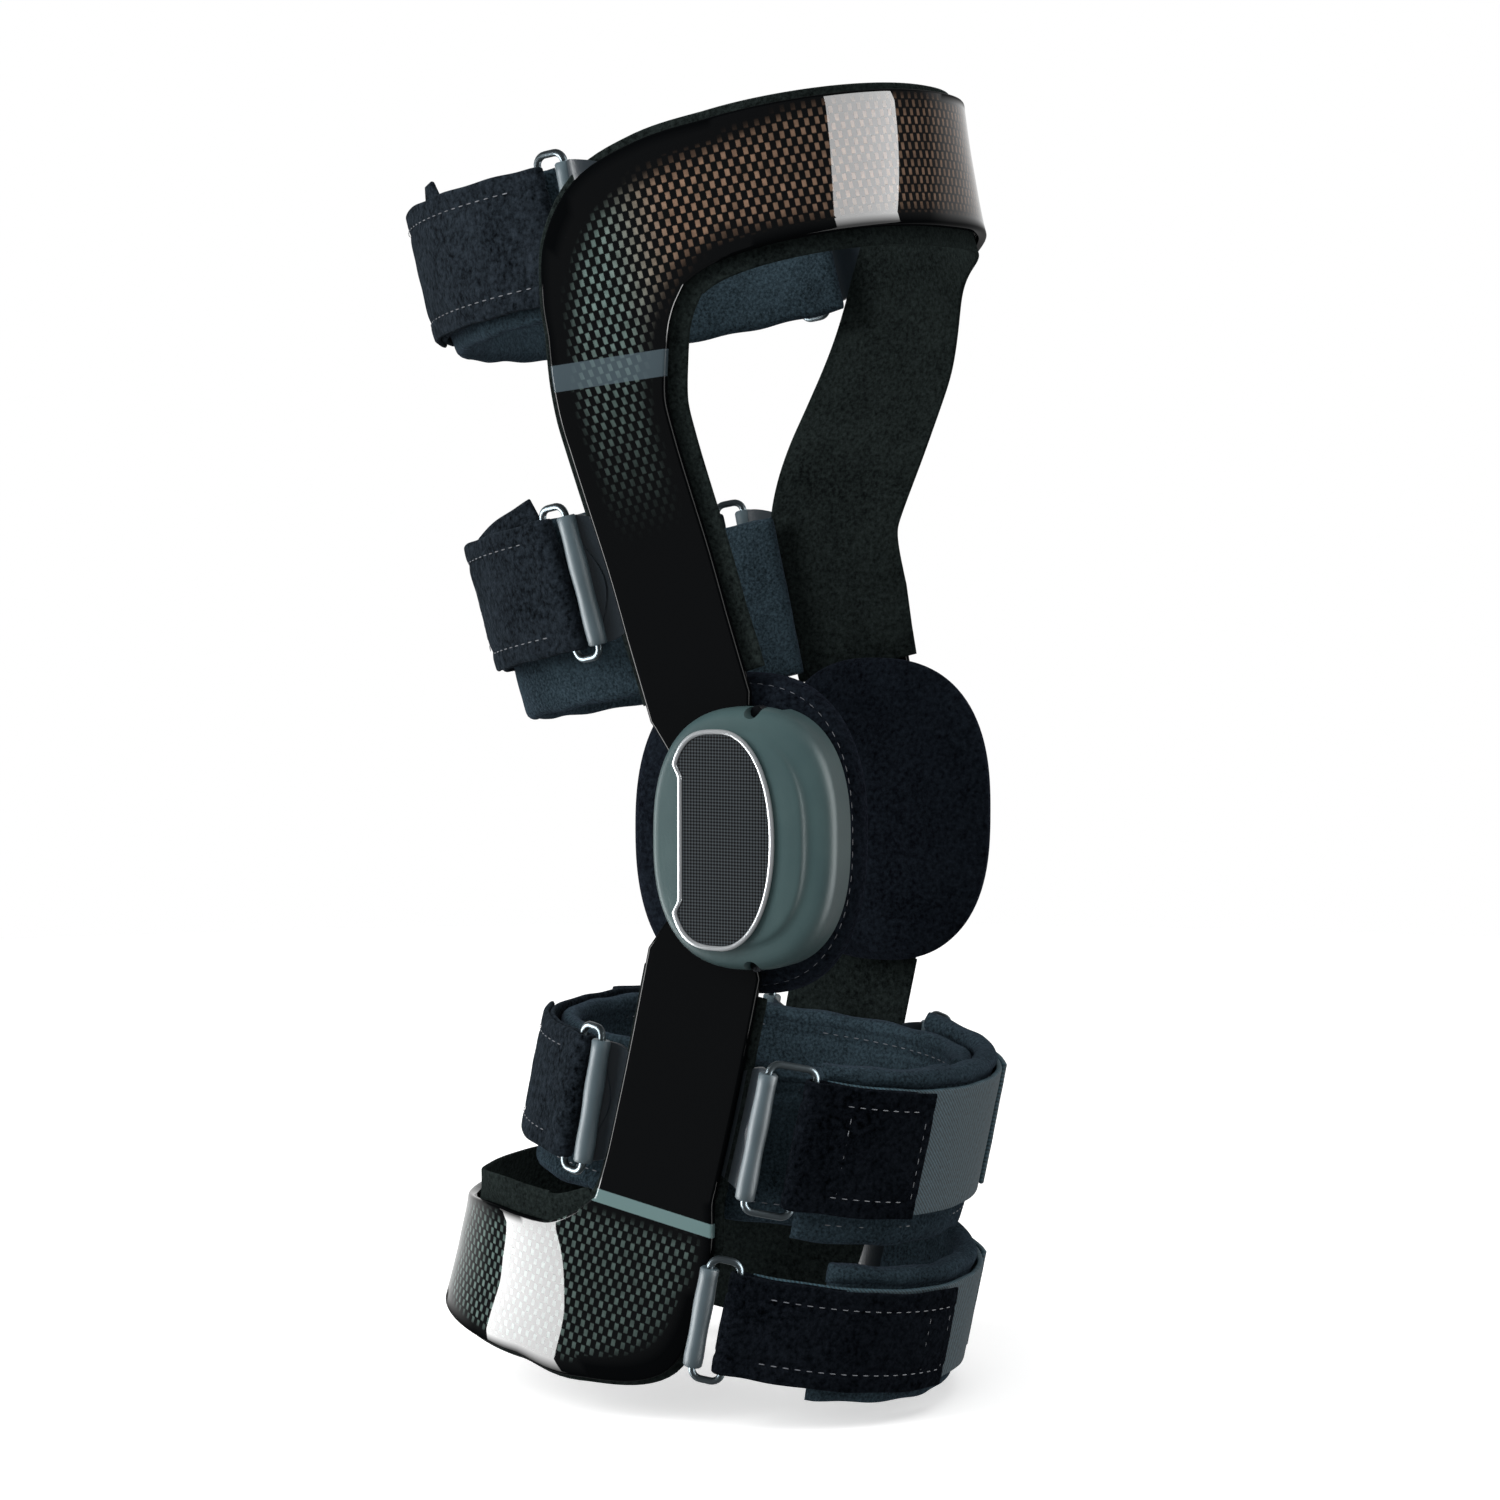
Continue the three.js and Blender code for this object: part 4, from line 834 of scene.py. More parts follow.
def plate(name, inner, outward, low, high, body):
    """A closed plate over a grid of points, between two distances along `outward`."""
    top, under = inner + outward * high, inner + outward * low
    middle = (top + under) / 2
    loop = np.concatenate([top, middle[:, -1:], under[:, ::-1], middle[:, :1]], 1)
    ends = [np.concatenate([m, m[-1:], m[::-1], m[:1]])[None] for m in (middle[0], middle[-1])]
    return mesh_from_grid(name, in_row_frame(np.concatenate([ends[0], loop, ends[1]]), body))


def whole_tab(level):
    return 0, 1


def tab_face(level):
    """The raised face of a tab ends in a bow that is longest in its middle."""
    bow = FACE_BOW * math.sin(math.pi * min(max((level - FACE_BOW_FROM) / FACE_BOW_WIDTH, 0), 1))
    return FACE_EXTENT[0], FACE_EXTENT[1] + bow


def tab_grid(seat, width, reach, frame, side, places, extent):
    """Points on a tab from its rolled edge in under the arm, over the `extent` that it has at each level."""
    half = width / 2 - TAB_INSET
    low, high = seat_point(seat, -reach, -half), seat_point(seat, -reach, half)
    levels = np.linspace(0, 1, TAB_LEVELS)
    rows = [low + (high - low) * levels[:, None] + seat["out"] * (TAB_WALL - SLEEVE_RADIUS)]
    for toward, trim in zip((places[0], (places[0] + places[1]) / 2, places[1]), TAB_TRIMS):
        on_bar = low + (high - low) * (trim + levels * (1 - 2 * trim))[:, None]
        rows.append(frame["form"].place(frame["form"].run_at(side, toward), on_bar[:, 2], TAB_INNER))
    grid = np.zeros((TAB_STEPS, TAB_LEVELS, 3))
    for j, level in enumerate(levels):
        column = [row[j] for row in rows]
        grid[:, j] = [curve_point(column, share) for share in np.linspace(*extent(level), TAB_STEPS)]
    return grid


def stitching(name, body, lines, radius=STITCH_RADIUS):
    """Short bright stitches along lines of points, each a small rounded dash half sunk in the cloth."""
    select_only()
    bpy.ops.mesh.primitive_uv_sphere_add(segments=6, ring_count=5, radius=1)
    dash = bpy.context.object
    shape = np.array([vertex.co for vertex in dash.data.vertices])
    faces = [list(face.vertices) for face in dash.data.polygons]
    bpy.ops.object.delete()
    length, gap = STITCH_LENGTH * MM, STITCH_GAP * MM
    points, polygons = [], []
    for line in lines:
        line = in_row_frame(line, body) if body in LEANS else line * MM
        far = np.concatenate([[0], np.cumsum(np.linalg.norm(np.diff(line, axis=0), axis=1))])
        for start in np.arange(gap / 2, far[-1] - length, length + gap):
            low, high = (np.array([np.interp(at, far, line[:, k]) for k in range(3)])
                         for at in (start, start + length))
            ahead = unit(high - low)
            aside = unit(np.cross(ahead, OFF_SEAM))
            across = np.cross(ahead, aside)
            spots = (low + high) / 2 + np.outer(shape[:, 0], ahead) * length / 2
            spots = spots + (np.outer(shape[:, 1], aside) + np.outer(shape[:, 2], across)) * radius * MM
            polygons += [[index + len(points) * len(shape) for index in face] for face in faces]
            points.append(spots)
    mesh = bpy.data.meshes.new(name)
    mesh.from_pydata(np.concatenate(points), [], polygons)
    piece = bpy.data.objects.new(name, mesh)
    bpy.context.scene.collection.objects.link(piece)
    tidy_mesh(piece)
    return piece


def seam_line(form, sizes, start, end, across, off):
    """A seam along a strap, `across` from its middle."""
    run = np.linspace(start, end, max(int(abs(end - start) / 1.5), 4))
    return form.place(run, rise_at(form, sizes, run) + across, off)


def cross_seam(form, sizes, run, half, off):
    """A seam straight up across a strap."""
    upwards = np.outer(np.linspace(-half, half, 30), (0, 0, 1))
    return form.place(run, rise_at(form, sizes, run), off) + upwards


def plain_thread():
    """Polyester sewing thread, pale grey and matt, worn darker in places."""
    material, tree, shader = new_material("sewing_thread")
    place = add(tree, "ShaderNodeTexCoord").outputs["Object"]
    worn = add(tree, "ShaderNodeTexNoise", {"Scale": 220.0}, {"Vector": place})
    greys = {"data_type": "RGBA", 6: linear("34383f"), 7: linear("84888f")}
    tone = add(tree, "ShaderNodeMix", greys, {0: worn})
    fill(tree, shader, {"Roughness": 0.7}, {"Base Color": tone.outputs[2]})
    return material


def twill_webbing():
    """Woven polyester webbing, blue-grey and dry, with fine diagonal ribs drawn coarser so that they show."""
    material, tree, shader = new_material("twill_webbing")
    cloth = add(tree, "ShaderNodeUVMap", {"uv_map": "cloth"})
    where = add(tree, "ShaderNodeSeparateXYZ", links={0: cloth})
    slant = add(tree, "ShaderNodeMath", {"operation": "ADD"}, {0: where.outputs[0], 1: where.outputs[1]})
    angle = add(tree, "ShaderNodeMath", {"operation": "MULTIPLY", 1: 2 * math.pi / RIB_PITCH}, {0: slant})
    rib = add(tree, "ShaderNodeMath", {"operation": "SINE"}, {0: angle})
    fuzz = add(tree, "ShaderNodeTexNoise", {"Scale": 900.0, "Detail": 2.0}, {"Vector": cloth})
    height = add(tree, "ShaderNodeMath", {"operation": "MULTIPLY_ADD", 1: 0.3}, {0: rib, 2: fuzz})
    share = add(tree, "ShaderNodeMapRange", {1: 0.1, 2: 0.9}, {0: height})
    yarns = {"data_type": "RGBA", 6: linear("1b2d33"), 7: linear("3c5a66")}
    colour = add(tree, "ShaderNodeMix", yarns, {0: share})
    relief = add(tree, "ShaderNodeBump", {"Strength": 0.5, "Distance": 0.0003}, {"Height": height})
    dry = {"Roughness": 0.85, "Specular IOR Level": 0.25}
    fill(tree, shader, dry, {"Base Color": colour.outputs[2], "Normal": relief})
    return material


def smooth_solid(name, tone, patchy_tone, roughness, metallic, grain, bump, specular=0.5):
    """A moulded or drawn solid: one tone with faint patches and a fine surface grain."""
    material, tree, shader = new_material(name)
    place = add(tree, "ShaderNodeTexCoord").outputs["Object"]
    patch = add(tree, "ShaderNodeTexNoise", {"Scale": 60.0, "Detail": 3.0}, {"Vector": place})
    tones = {"data_type": "RGBA", 6: linear(tone), 7: linear(patchy_tone)}
    colour = add(tree, "ShaderNodeMix", tones, {0: patch})
    fine = add(tree, "ShaderNodeTexNoise", {"Scale": grain, "Detail": 2.0}, {"Vector": place})
    relief = add(tree, "ShaderNodeBump", {"Strength": bump, "Distance": 0.0002}, {"Height": fine})
    solid = {"Roughness": roughness, "Metallic": metallic, "Specular IOR Level": specular}
    fill(tree, shader, solid, {"Base Color": colour.outputs[2], "Normal": relief})
    return material


# Brushed nylon loop, nearly black: deep pile that swallows light, with a bloom where it turns away.
plush = cloth_shader("loop_pile", "010203", "282f36", 560.0, 1.0, 0.16, "7c8a96")
# The same pile, painted darker and more even: a copy with painted shade, for the shin straps' plush ends.
shaded_plush = cloth_shader("shaded_loop_pile", "000102", "181c22", 620.0, 1.0, 0.1, "6c7482")
thread = plain_thread()
webbing = twill_webbing()
# Drawn steel wire, nickel-plated and tumbled: a grey metal with broad soft glints.
wire = smooth_solid("nickel_plated_wire", "5c666b", "768186", 0.4, 1.0, 700.0, 0.1)
# Moulded nylon, charcoal and half matt, with a faint grain.
tab_plastic = smooth_solid("moulded_tab_nylon", "1c2328", "2a333a", 0.42, 0.0, 1500.0, 0.35)
# The same nylon in a paler tone, on the rolled edge round the wire.
sleeve_plastic = smooth_solid("rolled_tab_edge", "3f4d53", "53636a", 0.5, 0.0, 900.0, 0.2)


def buckle(strap, form, sizes, label, side):
    """A wire ring on the strap's end, the rolled edge of its tab, the tab and the tab's raised face."""
    half_frame, name, width, lead = strap["frame"], strap["name"], strap["width"], strap["lead"]
    body, arm = half_frame["body"], half_frame["arm"]
    wall = STRAP_WALL if lead > 0 else WEBBING_WALL
    off = PLUSH_INNER + PLUSH_WALL / 2 if lead < 0 and side < 0 else wall / 2
    bar, dip, tuck = strap[label]
    # The table counts towards the strap's middle, and the tab lies on the frame's form.
    toward = arm if half_frame["form"].lead == lead else -arm
    reach = strap.get("reach", RING_REACH) if side < 0 else RING_REACH
    seat = buckle_seat(form, sizes, side, bar * arm, off)
    ring = ring_wire(f"{name}_wire_{label}", seat, width, reach, body)
    finished(ring, wire, body, [f"{name}_ring_{label}"])
    sleeve = sleeve_tube(f"{name}_rolled_edge_{label}", seat, width, reach, body)
    finished(sleeve, sleeve_plastic, body)
    places = (dip * toward, tuck * toward)
    for piece, extent, low, high, replaced in (
        ("tongue", whole_tab, 0, TAB_WALL, [f"{name}_tab_{label}"]),
        ("tongue_face", tab_face, TAB_WALL + FACE_LIFT, TAB_WALL + FACE_LIFT + FACE_WALL, ()),
    ):
        grid = tab_grid(seat, width, reach, half_frame, side, places, extent)
        tab = plate(f"{name}_{piece}_{label}", grid, seat["out"], low, high, body)
        finished(tab, tab_plastic, body, replaced)


def rear_strap(strap, form, sizes, start, end):
    """Elastic that is folded back at both ends. Gives the lines of its stitches."""
    name, width, body, backs = strap["name"], strap["width"], strap["frame"]["body"], strap["back"]
    half = LAYER_WALL / 2
    path = folded_path(form, sizes, start, end, half, STRAP_WALL - half, STRAP_WALL / 2, *backs)
    if "flap" in strap:
        first, last, *rises = strap["flap"]
        along = path[:, 0] - start
        raised = (np.cos(path[:, 5]) > FLAT_LEAN) & (along > first) & (along < last)
        path[:, 3] += raised * np.interp(along, (first, last), rises)
    layer = rounded_section(-half, half, 36, 0.85, crown=0.15, groove=0.4, groove_at=STITCH_FROM_EDGE / width)
    belt = laid_band(f"{name}_belt", form, body, path, layer, soft=0.35)
    finished(belt, plush, body, [f"{name}_strap"])
    off, seam = STRAP_WALL + STITCH_LIFT, width / 2 - STITCH_FROM_EDGE
    lines = []
    for bar, way, back in ((start, 1, backs[0]), (end, -1, backs[1])):
        free = bar + way * (back - SEAM_FROM_FREE)
        near_bar = bar + way * SEAM_FROM_BAR
        lines += [seam_line(form, sizes, near_bar, free, up, off) for up in (seam, -seam)]
        lines.append(cross_seam(form, sizes, free, seam, off))
    return lines


def shin_strap(strap, form, sizes, start, end):
    """Webbing with a short plush end at the near buckle. Gives the lines of its stitches."""
    name, width, body = strap["name"], strap["width"], strap["frame"]["body"]
    half = WEBBING_WALL / 2
    outer = WEBBING_WALL + half + TAPE_PINCH
    path = folded_path(form, sizes, start + TAPE_START, end, half, outer, half, 0, TAPE_BACK)
    section = rounded_section(-half + TAPE_PINCH, half - TAPE_PINCH, 16, 0.6)
    tape = laid_band(f"{name}_tape", form, body, path, section, soft=0.15)
    finished(tape, webbing, body, [f"{name}_strap"])
    half = PLUSH_LAYER / 2
    inner, outer = PLUSH_INNER + half - 0.05, PLUSH_INNER + PLUSH_WALL - half + 0.05
    short = -strap["plush_short"] * width
    centre = PLUSH_INNER + PLUSH_WALL / 2
    path = folded_path(form, sizes, start, start + PLUSH_UNDER, inner, outer, centre, short - start, 0)
    layer = rounded_section(-half, half, 36, 0.75, crown=0.15, groove=0.4, groove_at=STITCH_FROM_EDGE / width)
    plush_end = laid_band(f"{name}_plush_end", form, body, path, layer, soft=0.3)
    # The plush end takes the copy of the pile with painted shade.
    finished(plush_end, shaded_plush, body, [f"{name}_strap_end"])
    off, seam = PLUSH_INNER + PLUSH_WALL + STITCH_LIFT, width / 2 - STITCH_FROM_EDGE
    near_bar, free = start + PLUSH_SEAM_FROM_BAR, short - PLUSH_SEAM_FROM_FREE
    along = [seam_line(form, sizes, near_bar, free, up, off) for up in (seam, -seam)]
    return along + [cross_seam(form, sizes, run, seam, off) for run in (short - strap["box"], free)]


for strap in STRAPS:
    half_frame, name = strap["frame"], strap["name"]
    body, arm = half_frame["body"], half_frame["arm"]
    depth = strap["depth"] * half_frame["depth"]
    sizes = ring_sizes(strap, half_frame, strap["lead"], strap["width"], strap["beside"] * STRAP_WALL, depth)
    form = ring_form(sizes)
    start, end = form.run_at(-1, strap["near"][0] * arm), form.run_at(1, strap["far"][0] * arm)
    for label, side in (("near", -1), ("far", 1)):
        buckle(strap, form, sizes, label, side)
    build = rear_strap if strap["lead"] > 0 else shin_strap
    lines = build(strap, form, sizes, start, end)
    finished(stitching(f"{name}_stitching", body, lines), thread, body)

# Pads and calf wrap
# Each pad is foam laminated between fabric and sewn all round, held inside its strap by hook-and-loop.
# The wrap is the same, rolled over at its rim, and goes round the calf with its opening at the front.
PAD_WALL = 6.0
WRAP_WALL = 5.0
PAD_STEP = 1.8
PAD_PINCH = 0.35  # how far the cover is drawn in on each face
SEAM_FROM_EDGE = 6.2
SEAM_DEPTH = 0.75
SEAM_FROM_END = 5.0
NARROW_FROM, NARROW_TO = 45.0, 12.0
RIM_WIDTH = 5.6
RIM_FROM_EDGE = 2.4
RIM_IN, RIM_OUT = 0.5, 0.7  # how far a rolled rim stands past the pad's two faces
RIM_OVERHANG = 0.5
RIM_RADIUS = 2.75
EDGES = {"top": 1, "low": -1}
PADS = [
    dict(name="thigh_upper_pad", strap=0, up=0.994, width=1.075, wall=PAD_WALL, slack=0.95, taper=0.025,
         power=2.2, rise=0.115, ends=(0.06, -0.5)),
    dict(name="thigh_lower_pad", strap=1, up=0.363, width=1.425, wall=PAD_WALL, slack=0.42, taper=0.09,
         power=2.7, rise=0.09, ends=(0.47, 0.47), narrowed=6.0),
    dict(name="calf_wrap", strap=2, up=0.565, width=1.263, wall=WRAP_WALL, slack=0.44, taper=0, power=2.4,
         rise=-0.135, back=0.705, ends=(-2.15, -1.95), rims=("top", "low")),
    dict(name="shin_upper_pad", strap=3, up=0.54, width=1.385, wall=PAD_WALL, slack=-1.2, taper=0, power=2.3,
         rise=0.037, ends=(1.135, 0.85), rims=("top",)),
    dict(name="shin_lower_pad", strap=4, up=0.914, width=1.355, wall=PAD_WALL, slack=-0.95, taper=0,
         power=2.2, rise=0, ends=(1.51, 0.85), rims=("top",)),
]

# Brushed nylon over foam, slate grey: soft low contrast, with a bluish bloom along its rolled edges.
padding = cloth_shader("laminated_foam", "12191c", "3a4a53", 1100.0, 0.5, 0.15, "8088a0")

for pad in PADS:
    strap = STRAPS[pad["strap"]]
    half_frame = strap["frame"]
    body, arm, wall, lead = half_frame["body"], half_frame["arm"], pad["wall"], strap["lead"]
    width = pad["width"] * strap["width"]
    depth = strap["depth"] * half_frame["depth"] - PAD_GAP - wall
    back_depth = pad["back"] * CALF_FRONT if "back" in pad else depth
    beside = PAD_OUTER - (1 + pad["slack"]) * wall
    sizes = ring_sizes(pad, half_frame, lead, width, beside, depth, back_depth)
    form = ring_form(sizes)
    start, end = form.run_at(-1, pad["ends"][0] * arm), form.run_at(1, pad["ends"][1] * arm)
    steps = int((end - start) / PAD_STEP)
    path = round_path(form, sizes, start, end, steps)
    path[:, 3] -= pad.get("narrowed", 0) * smoothstep(end - NARROW_FROM, end - NARROW_TO, path[:, 0])
    groove = (SEAM_DEPTH if "rims" in pad else 0.0, SEAM_FROM_EDGE / width)
    section = rounded_section(PAD_PINCH, wall - PAD_PINCH, 48, wall / 2 - 0.4, 0.35, *groove)
    cushion = laid_band(f"{pad['name']}_cushion", form, body, path, section, soft=0.55)
    finished(cushion, padding, body, [pad["name"]])
    for edge in pad.get("rims", ()):
        rim_sizes = {**sizes, "width": RIM_WIDTH}
        rim = round_path(form, rim_sizes, start - RIM_OVERHANG, end + RIM_OVERHANG, steps)
        rim[:, 1] += EDGES[edge] * (width / 2 - RIM_FROM_EDGE)
        bead = rounded_section(-RIM_IN, wall + RIM_OUT, 8, RIM_RADIUS)
        rolled = laid_band(f"{pad['name']}_rim_{edge}", form, body, rim, bead, soft=0.55)
        finished(rolled, padding, body)
    if "rims" in pad:
        seam = width / 2 - SEAM_FROM_EDGE
        faces = (wall - PAD_PINCH, PAD_PINCH)
        lines = [seam_line(form, sizes, start + SEAM_FROM_END, end - SEAM_FROM_END, up, off)
                 for up in (seam, -seam) for off in faces]
        finished(stitching(f"{pad['name']}_stitching", body, lines), thread, body)

# Hinges
# A steel plate on each side carries the pivots. It is closed by a moulded satin cover with a raised front
# ridge, two screws and a bare oval badge, and padded towards the knee by a domed fabric-covered pad.
PLATE_INNER = 54.3
COVER_INNER = 59.9
COVER_DEPTH = 11.6
COVER_HEIGHT = 77.0
COVER_REAR = 17.0
COVER_POWER = 2.5
COVER_SIDES = 144
COVER_STEPS = 49
RIDGE_POWER = 1.3  # how fast the plain rear side gives way to the ridged front
COVER_WIDTHS = {"near": 57.0, "far": 49.0}
SKIRT_FRONT = -20.0  # where the cover reaches in to the plate, along y
SKIRT_OVERLAP = 0.3
SCREW_ALONG = -14.5
SCREW_LEVEL = 37.6
SCREW_INWARD = 0.985
SCREW_RADIUS = 1.9
SCREW_FROM, SCREW_TO = 60.5, 64.5
NOTCH_RADIUS = 2.3
NOTCH_FROM, NOTCH_TO = 61.0, 80.0
BADGE_HEIGHT = 64.0
BADGE_WIDTH = 34.0
BADGE_REAR = BADGE_WIDTH / 2 - 6.6
BADGE_POWERS = (3.2, 2.1)  # of its rear and of its front
BADGE_SIDES = 200
BADGE_LIFT = 0.3
BADGE_WALL = 0.8
BADGE_EASED = 0.2
BADGE_STEP = 3.6
BADGE_CHAMFER = (0.285, 0.385)  # from the step's full depth to none, as shares of the height from its middle
BORDER_WIDTH = 1.4
MESH_PITCH = 1.9 * MM
CONDYLE_OUTER = 54.0
CONDYLE_WALL = 13.0
CONDYLE_HALF_WIDTH = 37.5
CONDYLE_HEIGHT = 95.0
CONDYLE_MIDDLE = -4.0
CONDYLE_POWER = 2.5
CONDYLE_SIDES = 128
CONDYLE_STEPS = 40
CONDYLE_SEAM = (51.3, 0.94)  # its place outwards, and its size as a share of the outline

# Shares of the outline and mm outwards: the plain rear side and the ridged front side of a cover.
COVER_SIDE = [(1, 0.0), (1, 2.0), (1, 5.0), (0.995, 7.6), (0.98, 9.6), (0.95, 11.0), (0.91, 11.5),
              (0.87, 11.6), (0.85, 11.6), (0.83, 11.6), (0.81, 11.6), (0.78, 11.6), (0.7, 11.6), (0.5, 11.6)]
COVER_FRONT = [(1, 0.0), (1, 2.5), (0.996, 3.8), (0.98, 5.1), (0.952, 6.2), (0.915, 7.0), (0.87, 7.6),
               (0.83, 8.0), (0.8, 8.4), (0.775, 9.1), (0.755, 10.0), (0.735, 10.5), (0.69, 10.9),
               (0.6, 11.4), (0.5, 11.6)]

# Columns: share of the pad's wall towards the knee, share of its outline.
CONDYLE_ROWS = [(0, 0.87), (0.07, 0.915), (0.15, 0.94), (0.21, 0.935), (0.28, 0.965), (0.4, 0.99),
                (0.52, 1.0), (0.65, 1.0), (0.77, 0.955), (0.87, 0.88), (0.94, 0.78), (0.985, 0.64), (1, 0.4)]

# The closed section of the badge's border: mm over its seat, inset from its edge.
BORDER_SECTION = [(0.3, -0.25), (1.1, -0.25), (1.35, 0.1), (1.35, 0.8), (1.1, 1.1), (0.3, 1.1), (0.3, -0.25)]


def oval_line(rear, front, height, power, sides):
    """An upright oval outline as (y, z, angle), the angle 0 at the rear."""
    angle = (np.arange(sides) + 0.5) / sides * 2 * math.pi
    c, s = np.cos(angle), np.sin(angle)
    radius = (np.abs(c) ** power + np.abs(s) ** power) ** (-1 / power)
    return (rear + front) / 2 + radius * c * (rear - front) / 2, radius * s * height / 2, angle


def cover_line(width):
    return oval_line(COVER_REAR, COVER_REAR - width, COVER_HEIGHT, COVER_POWER, COVER_SIDES)


def condyle_line(size, sides):
    reach = CONDYLE_HALF_WIDTH * size
    sizes = (CONDYLE_MIDDLE + reach, CONDYLE_MIDDLE - reach, CONDYLE_HEIGHT * size)
    return oval_line(*sizes, CONDYLE_POWER, sides)


def badge_outline(inset):
    """The badge's outline: a full rear side, stepped in between chamfered corners, and a slimmer front."""
    sizes = (BADGE_REAR - inset, BADGE_REAR - BADGE_WIDTH + inset, BADGE_HEIGHT - 2 * inset)
    (full, z_full, _), (slim, z_slim, _) = (oval_line(*sizes, power, BADGE_SIDES) for power in BADGE_POWERS)
    turn = np.arange(BADGE_SIDES) / BADGE_SIDES
    rear = (turn < 0.25) | (turn >= 0.75)
    y, z = np.where(rear, full, slim), np.where(rear, z_full, z_slim)
    step = BADGE_STEP * np.interp(np.abs(z) / BADGE_HEIGHT, BADGE_CHAMFER, (1, 0))
    return np.where(rear, np.minimum(y, BADGE_REAR - inset - step), y), z


def outline_points(side, x, y, z):
    return np.stack([side * np.broadcast_to(x, y.shape), y, z], -1)


def capped(rows):
    """Rings in metres, with one more at each end that is drawn together in a point."""
    ends = [np.tile(row.mean(0), (len(row), 1)) for row in (rows[0], rows[-1])]
    return np.array([ends[0], *rows, ends[1]]) * MM


def ringed_solid(name, side, rings):
    """A closed solid over rings of (x outwards, y, z), whose first and last ring close to a point."""
    return mesh_from_grid(name, capped([outline_points(side, *ring) for ring in rings]))


def cover_solid(name, side, width):
    y, z, angle = cover_line(width)
    weight = ((1 - np.cos(angle)) / 2) ** RIDGE_POWER
    middle = BADGE_REAR - BADGE_WIDTH / 2
    plain, ridged = (curve_points(rows, COVER_STEPS) for rows in (COVER_SIDE, COVER_FRONT))
    rings = []
    for (scale, out), (front_scale, front_out) in zip(plain, ridged):
        size = scale + (front_scale - scale) * weight
        x = COVER_INNER + out + (front_out - out) * weight
        rings.append((x, middle + (y - middle) * size, z * size))
    return ringed_solid(name, side, rings)


def cover_skirt(name, side, width):
    """The cover's front edge, which reaches in past the plate."""
    y, z, _ = cover_line(width)
    y, z = y[y < SKIRT_FRONT], z[y < SKIRT_FRONT]
    chord = np.full_like(y, SKIRT_FRONT)
    outer = COVER_INNER + SKIRT_OVERLAP
    corners = [(PLATE_INNER, y), (outer, y), (outer, chord), (PLATE_INNER, chord)]
    rows = np.stack([outline_points(side, x, depth, z) for x, depth in corners], 1)
    return mesh_from_grid(name, capped(rows))


def cut_away(piece, cutter):
    """Cuts a shape out of a piece and removes the shape."""
    cut = piece.modifiers.new("cut", "BOOLEAN")
    cut.operation, cut.solver, cut.object = "DIFFERENCE", "EXACT", cutter
    select_only(piece)
    bpy.ops.object.modifier_apply(modifier="cut")
    bpy.data.objects.remove(cutter)


def cross_rod(radius, x_low, x_high, y, z):
    """A round rod across the hinge, along x, in millimetres."""
    select_only()
    bpy.ops.mesh.primitive_cylinder_add(
        vertices=24, radius=radius * MM, depth=abs(x_high - x_low) * MM,
        location=((x_low + x_high) / 2 * MM, y * MM, z * MM), rotation=(0, math.pi / 2, 0))
    rod = bpy.context.object
    bpy.ops.object.transform_apply(location=True, rotation=True, scale=True)
    return rod


def badge_ground():
    """Black badge film under a clear gloss, with a fine diagonal mesh drawn coarser so that it shows."""
    material, tree, shader = new_material("meshed_badge_film")
    place = add(tree, "ShaderNodeTexCoord").outputs["Object"]
    where = add(tree, "ShaderNodeSeparateXYZ", links={0: place})
    waves = []
    for operation in ("ADD", "SUBTRACT"):
        along, up = where.outputs[1], where.outputs[2]
        slant = add(tree, "ShaderNodeMath", {"operation": operation}, {0: along, 1: up})
        turns = {"operation": "MULTIPLY", 1: 2 * math.pi / MESH_PITCH}
        angle = add(tree, "ShaderNodeMath", turns, {0: slant})
        waves.append(add(tree, "ShaderNodeMath", {"operation": "SINE"}, {0: angle}))
    dots = add(tree, "ShaderNodeMath", {"operation": "MULTIPLY"}, {0: waves[0], 1: waves[1]})
    share = add(tree, "ShaderNodeMapRange", {1: -0.4, 2: 0.8}, {0: dots})
    tones = {"data_type": "RGBA", 6: linear("050607"), 7: linear("40464a")}
    tone = add(tree, "ShaderNodeMix", tones, {0: share})
    gloss = {"Roughness": 0.35, "Specular IOR Level": 0.1, "Coat Weight": 0.3, "Coat Roughness": 0.1}
    fill(tree, shader, gloss, {"Base Color": tone.outputs[2]})
    return material


# Moulded nylon with a satin grain, green-grey: its ridge and rim catch a soft broad light.
cover_plastic = smooth_solid("satin_moulded_cover", "33474a", "455959", 0.45, 0.0, 1400.0, 0.25, 0.2)
# Bright-plated plastic: the one light line on the hinge.
border_metal = smooth_solid("bright_badge_border", "a8acaf", "bdc1c3", 0.3, 0.6, 900.0, 0.08)
# Blackened steel with a dull glint.
screw_metal = smooth_solid("blackened_screw", "15171a", "202327", 0.35, 0.8, 900.0, 0.2)
# Brushed stainless steel, which mirrors the studio in soft grey.
steel = smooth_solid("brushed_hinge_steel", "6a6f73", "7d8286", 0.35, 1.0, 1100.0, 0.2)
# Brushed nylon over thick foam, nearly black, with a faint violet bloom round its dome.
condyle_cloth = cloth_shader("brushed_condyle_cover", "040508", "1c2229", 700.0, 0.8, 0.12, "7f86a0")
film = badge_ground()

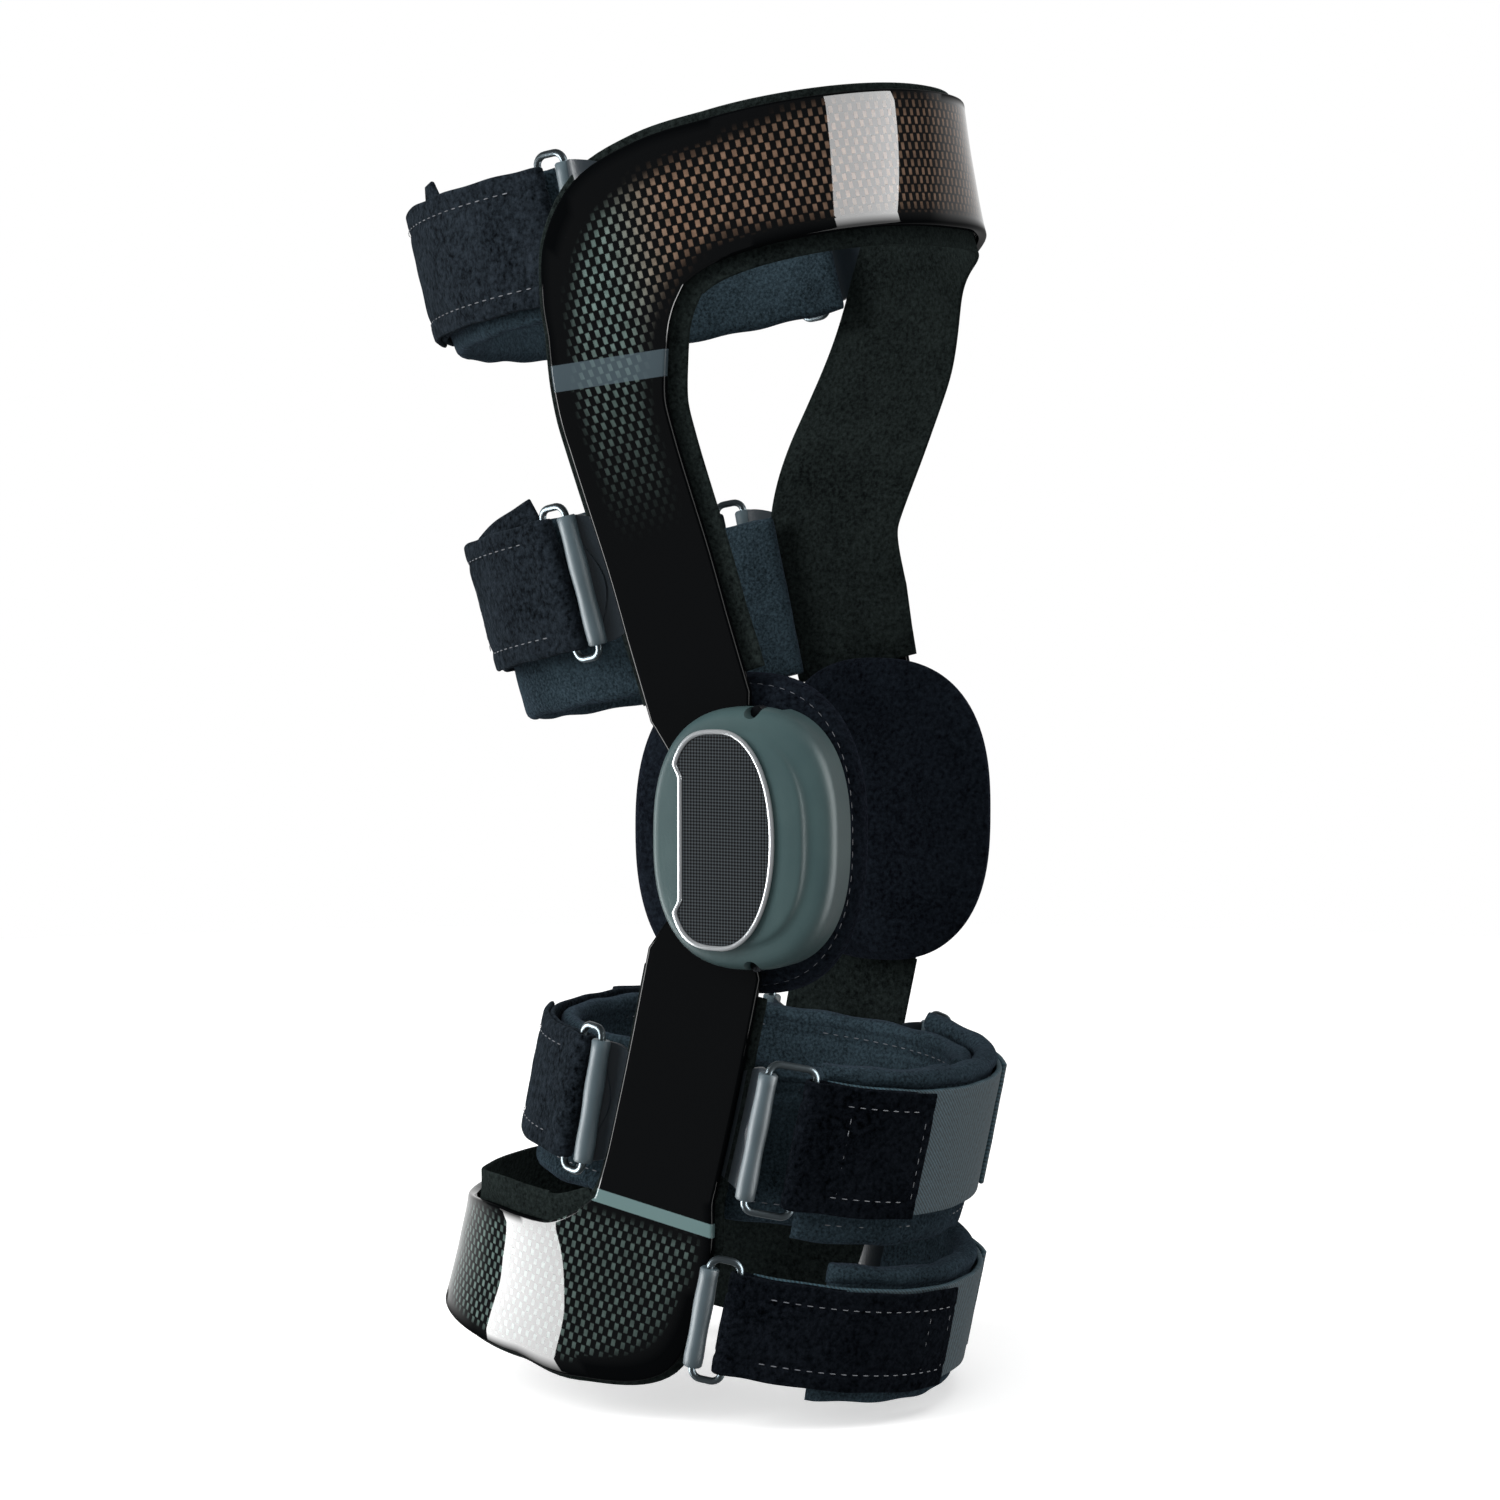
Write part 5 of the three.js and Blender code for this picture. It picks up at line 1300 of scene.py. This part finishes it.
for label, side in (("near", -1), ("far", 1)):
    cover = cover_solid(f"hinge_shell_{label}", side, COVER_WIDTHS[label])
    for end, way in (("low", -1), ("top", 1)):
        level = way * SCREW_LEVEL
        cut_away(cover, cross_rod(NOTCH_RADIUS, side * NOTCH_FROM, side * NOTCH_TO, SCREW_ALONG, level))
        screw = cross_rod(SCREW_RADIUS, side * SCREW_FROM, side * SCREW_TO, SCREW_ALONG, level * SCREW_INWARD)
        screw.name = f"hinge_screw_{label}_{end}"
        finished(screw, screw_metal, "hinge")
    tidy_mesh(cover, 40)
    finished(cover, cover_plastic, "hinge", [f"hinge_cover_{label}"])
    skirt = cover_skirt(f"hinge_skirt_{label}", side, COVER_WIDTHS[label])
    finished(skirt, cover_plastic, "hinge")

    face = COVER_INNER + COVER_DEPTH + BADGE_LIFT
    top = face + BADGE_WALL
    layers = [(face, *badge_outline(0)), (top - 0.1, *badge_outline(0)), (top, *badge_outline(BADGE_EASED))]
    rear_edge, high_edge = badge_outline(BORDER_WIDTH)
    middle = rear_edge.mean()
    layers += [(top, middle + (rear_edge - middle) * size, high_edge * size) for size in (1, 0.8, 0.5, 0.2)]
    badge = ringed_solid(f"hinge_badge_film_{label}", side, layers)
    finished(badge, film, "hinge", [f"hinge_badge_{label}"])
    rows = [outline_points(side, face + rise, *badge_outline(inset)) for rise, inset in BORDER_SECTION]
    border = mesh_from_grid(f"hinge_badge_border_{label}", np.array(rows) * MM)
    finished(border, border_metal, "hinge")

    rings = []
    for inward, size in curve_points(CONDYLE_ROWS, CONDYLE_STEPS):
        y, z, angle = condyle_line(size, CONDYLE_SIDES)
        uneven = 0.15 * np.sin(angle * 5 + inward * 4)
        rings.append((CONDYLE_OUTER - inward * CONDYLE_WALL + uneven, y, z))
    cushion = ringed_solid(f"condyle_cushion_{label}", side, rings)
    finished(cushion, condyle_cloth, "hinge", [f"condyle_pad_{label}"])
    out, size = CONDYLE_SEAM
    y, z, _ = condyle_line(size, BADGE_SIDES)
    seam = stitching(f"condyle_stitching_{label}", "hinge", [outline_points(side, out, y, z)], radius=0.13)
    finished(seam, thread, "hinge")
    steel_plate = bpy.data.objects[f"hinge_plate_{label}"]
    steel_plate.data.materials.clear()
    steel_plate.data.materials.append(steel)
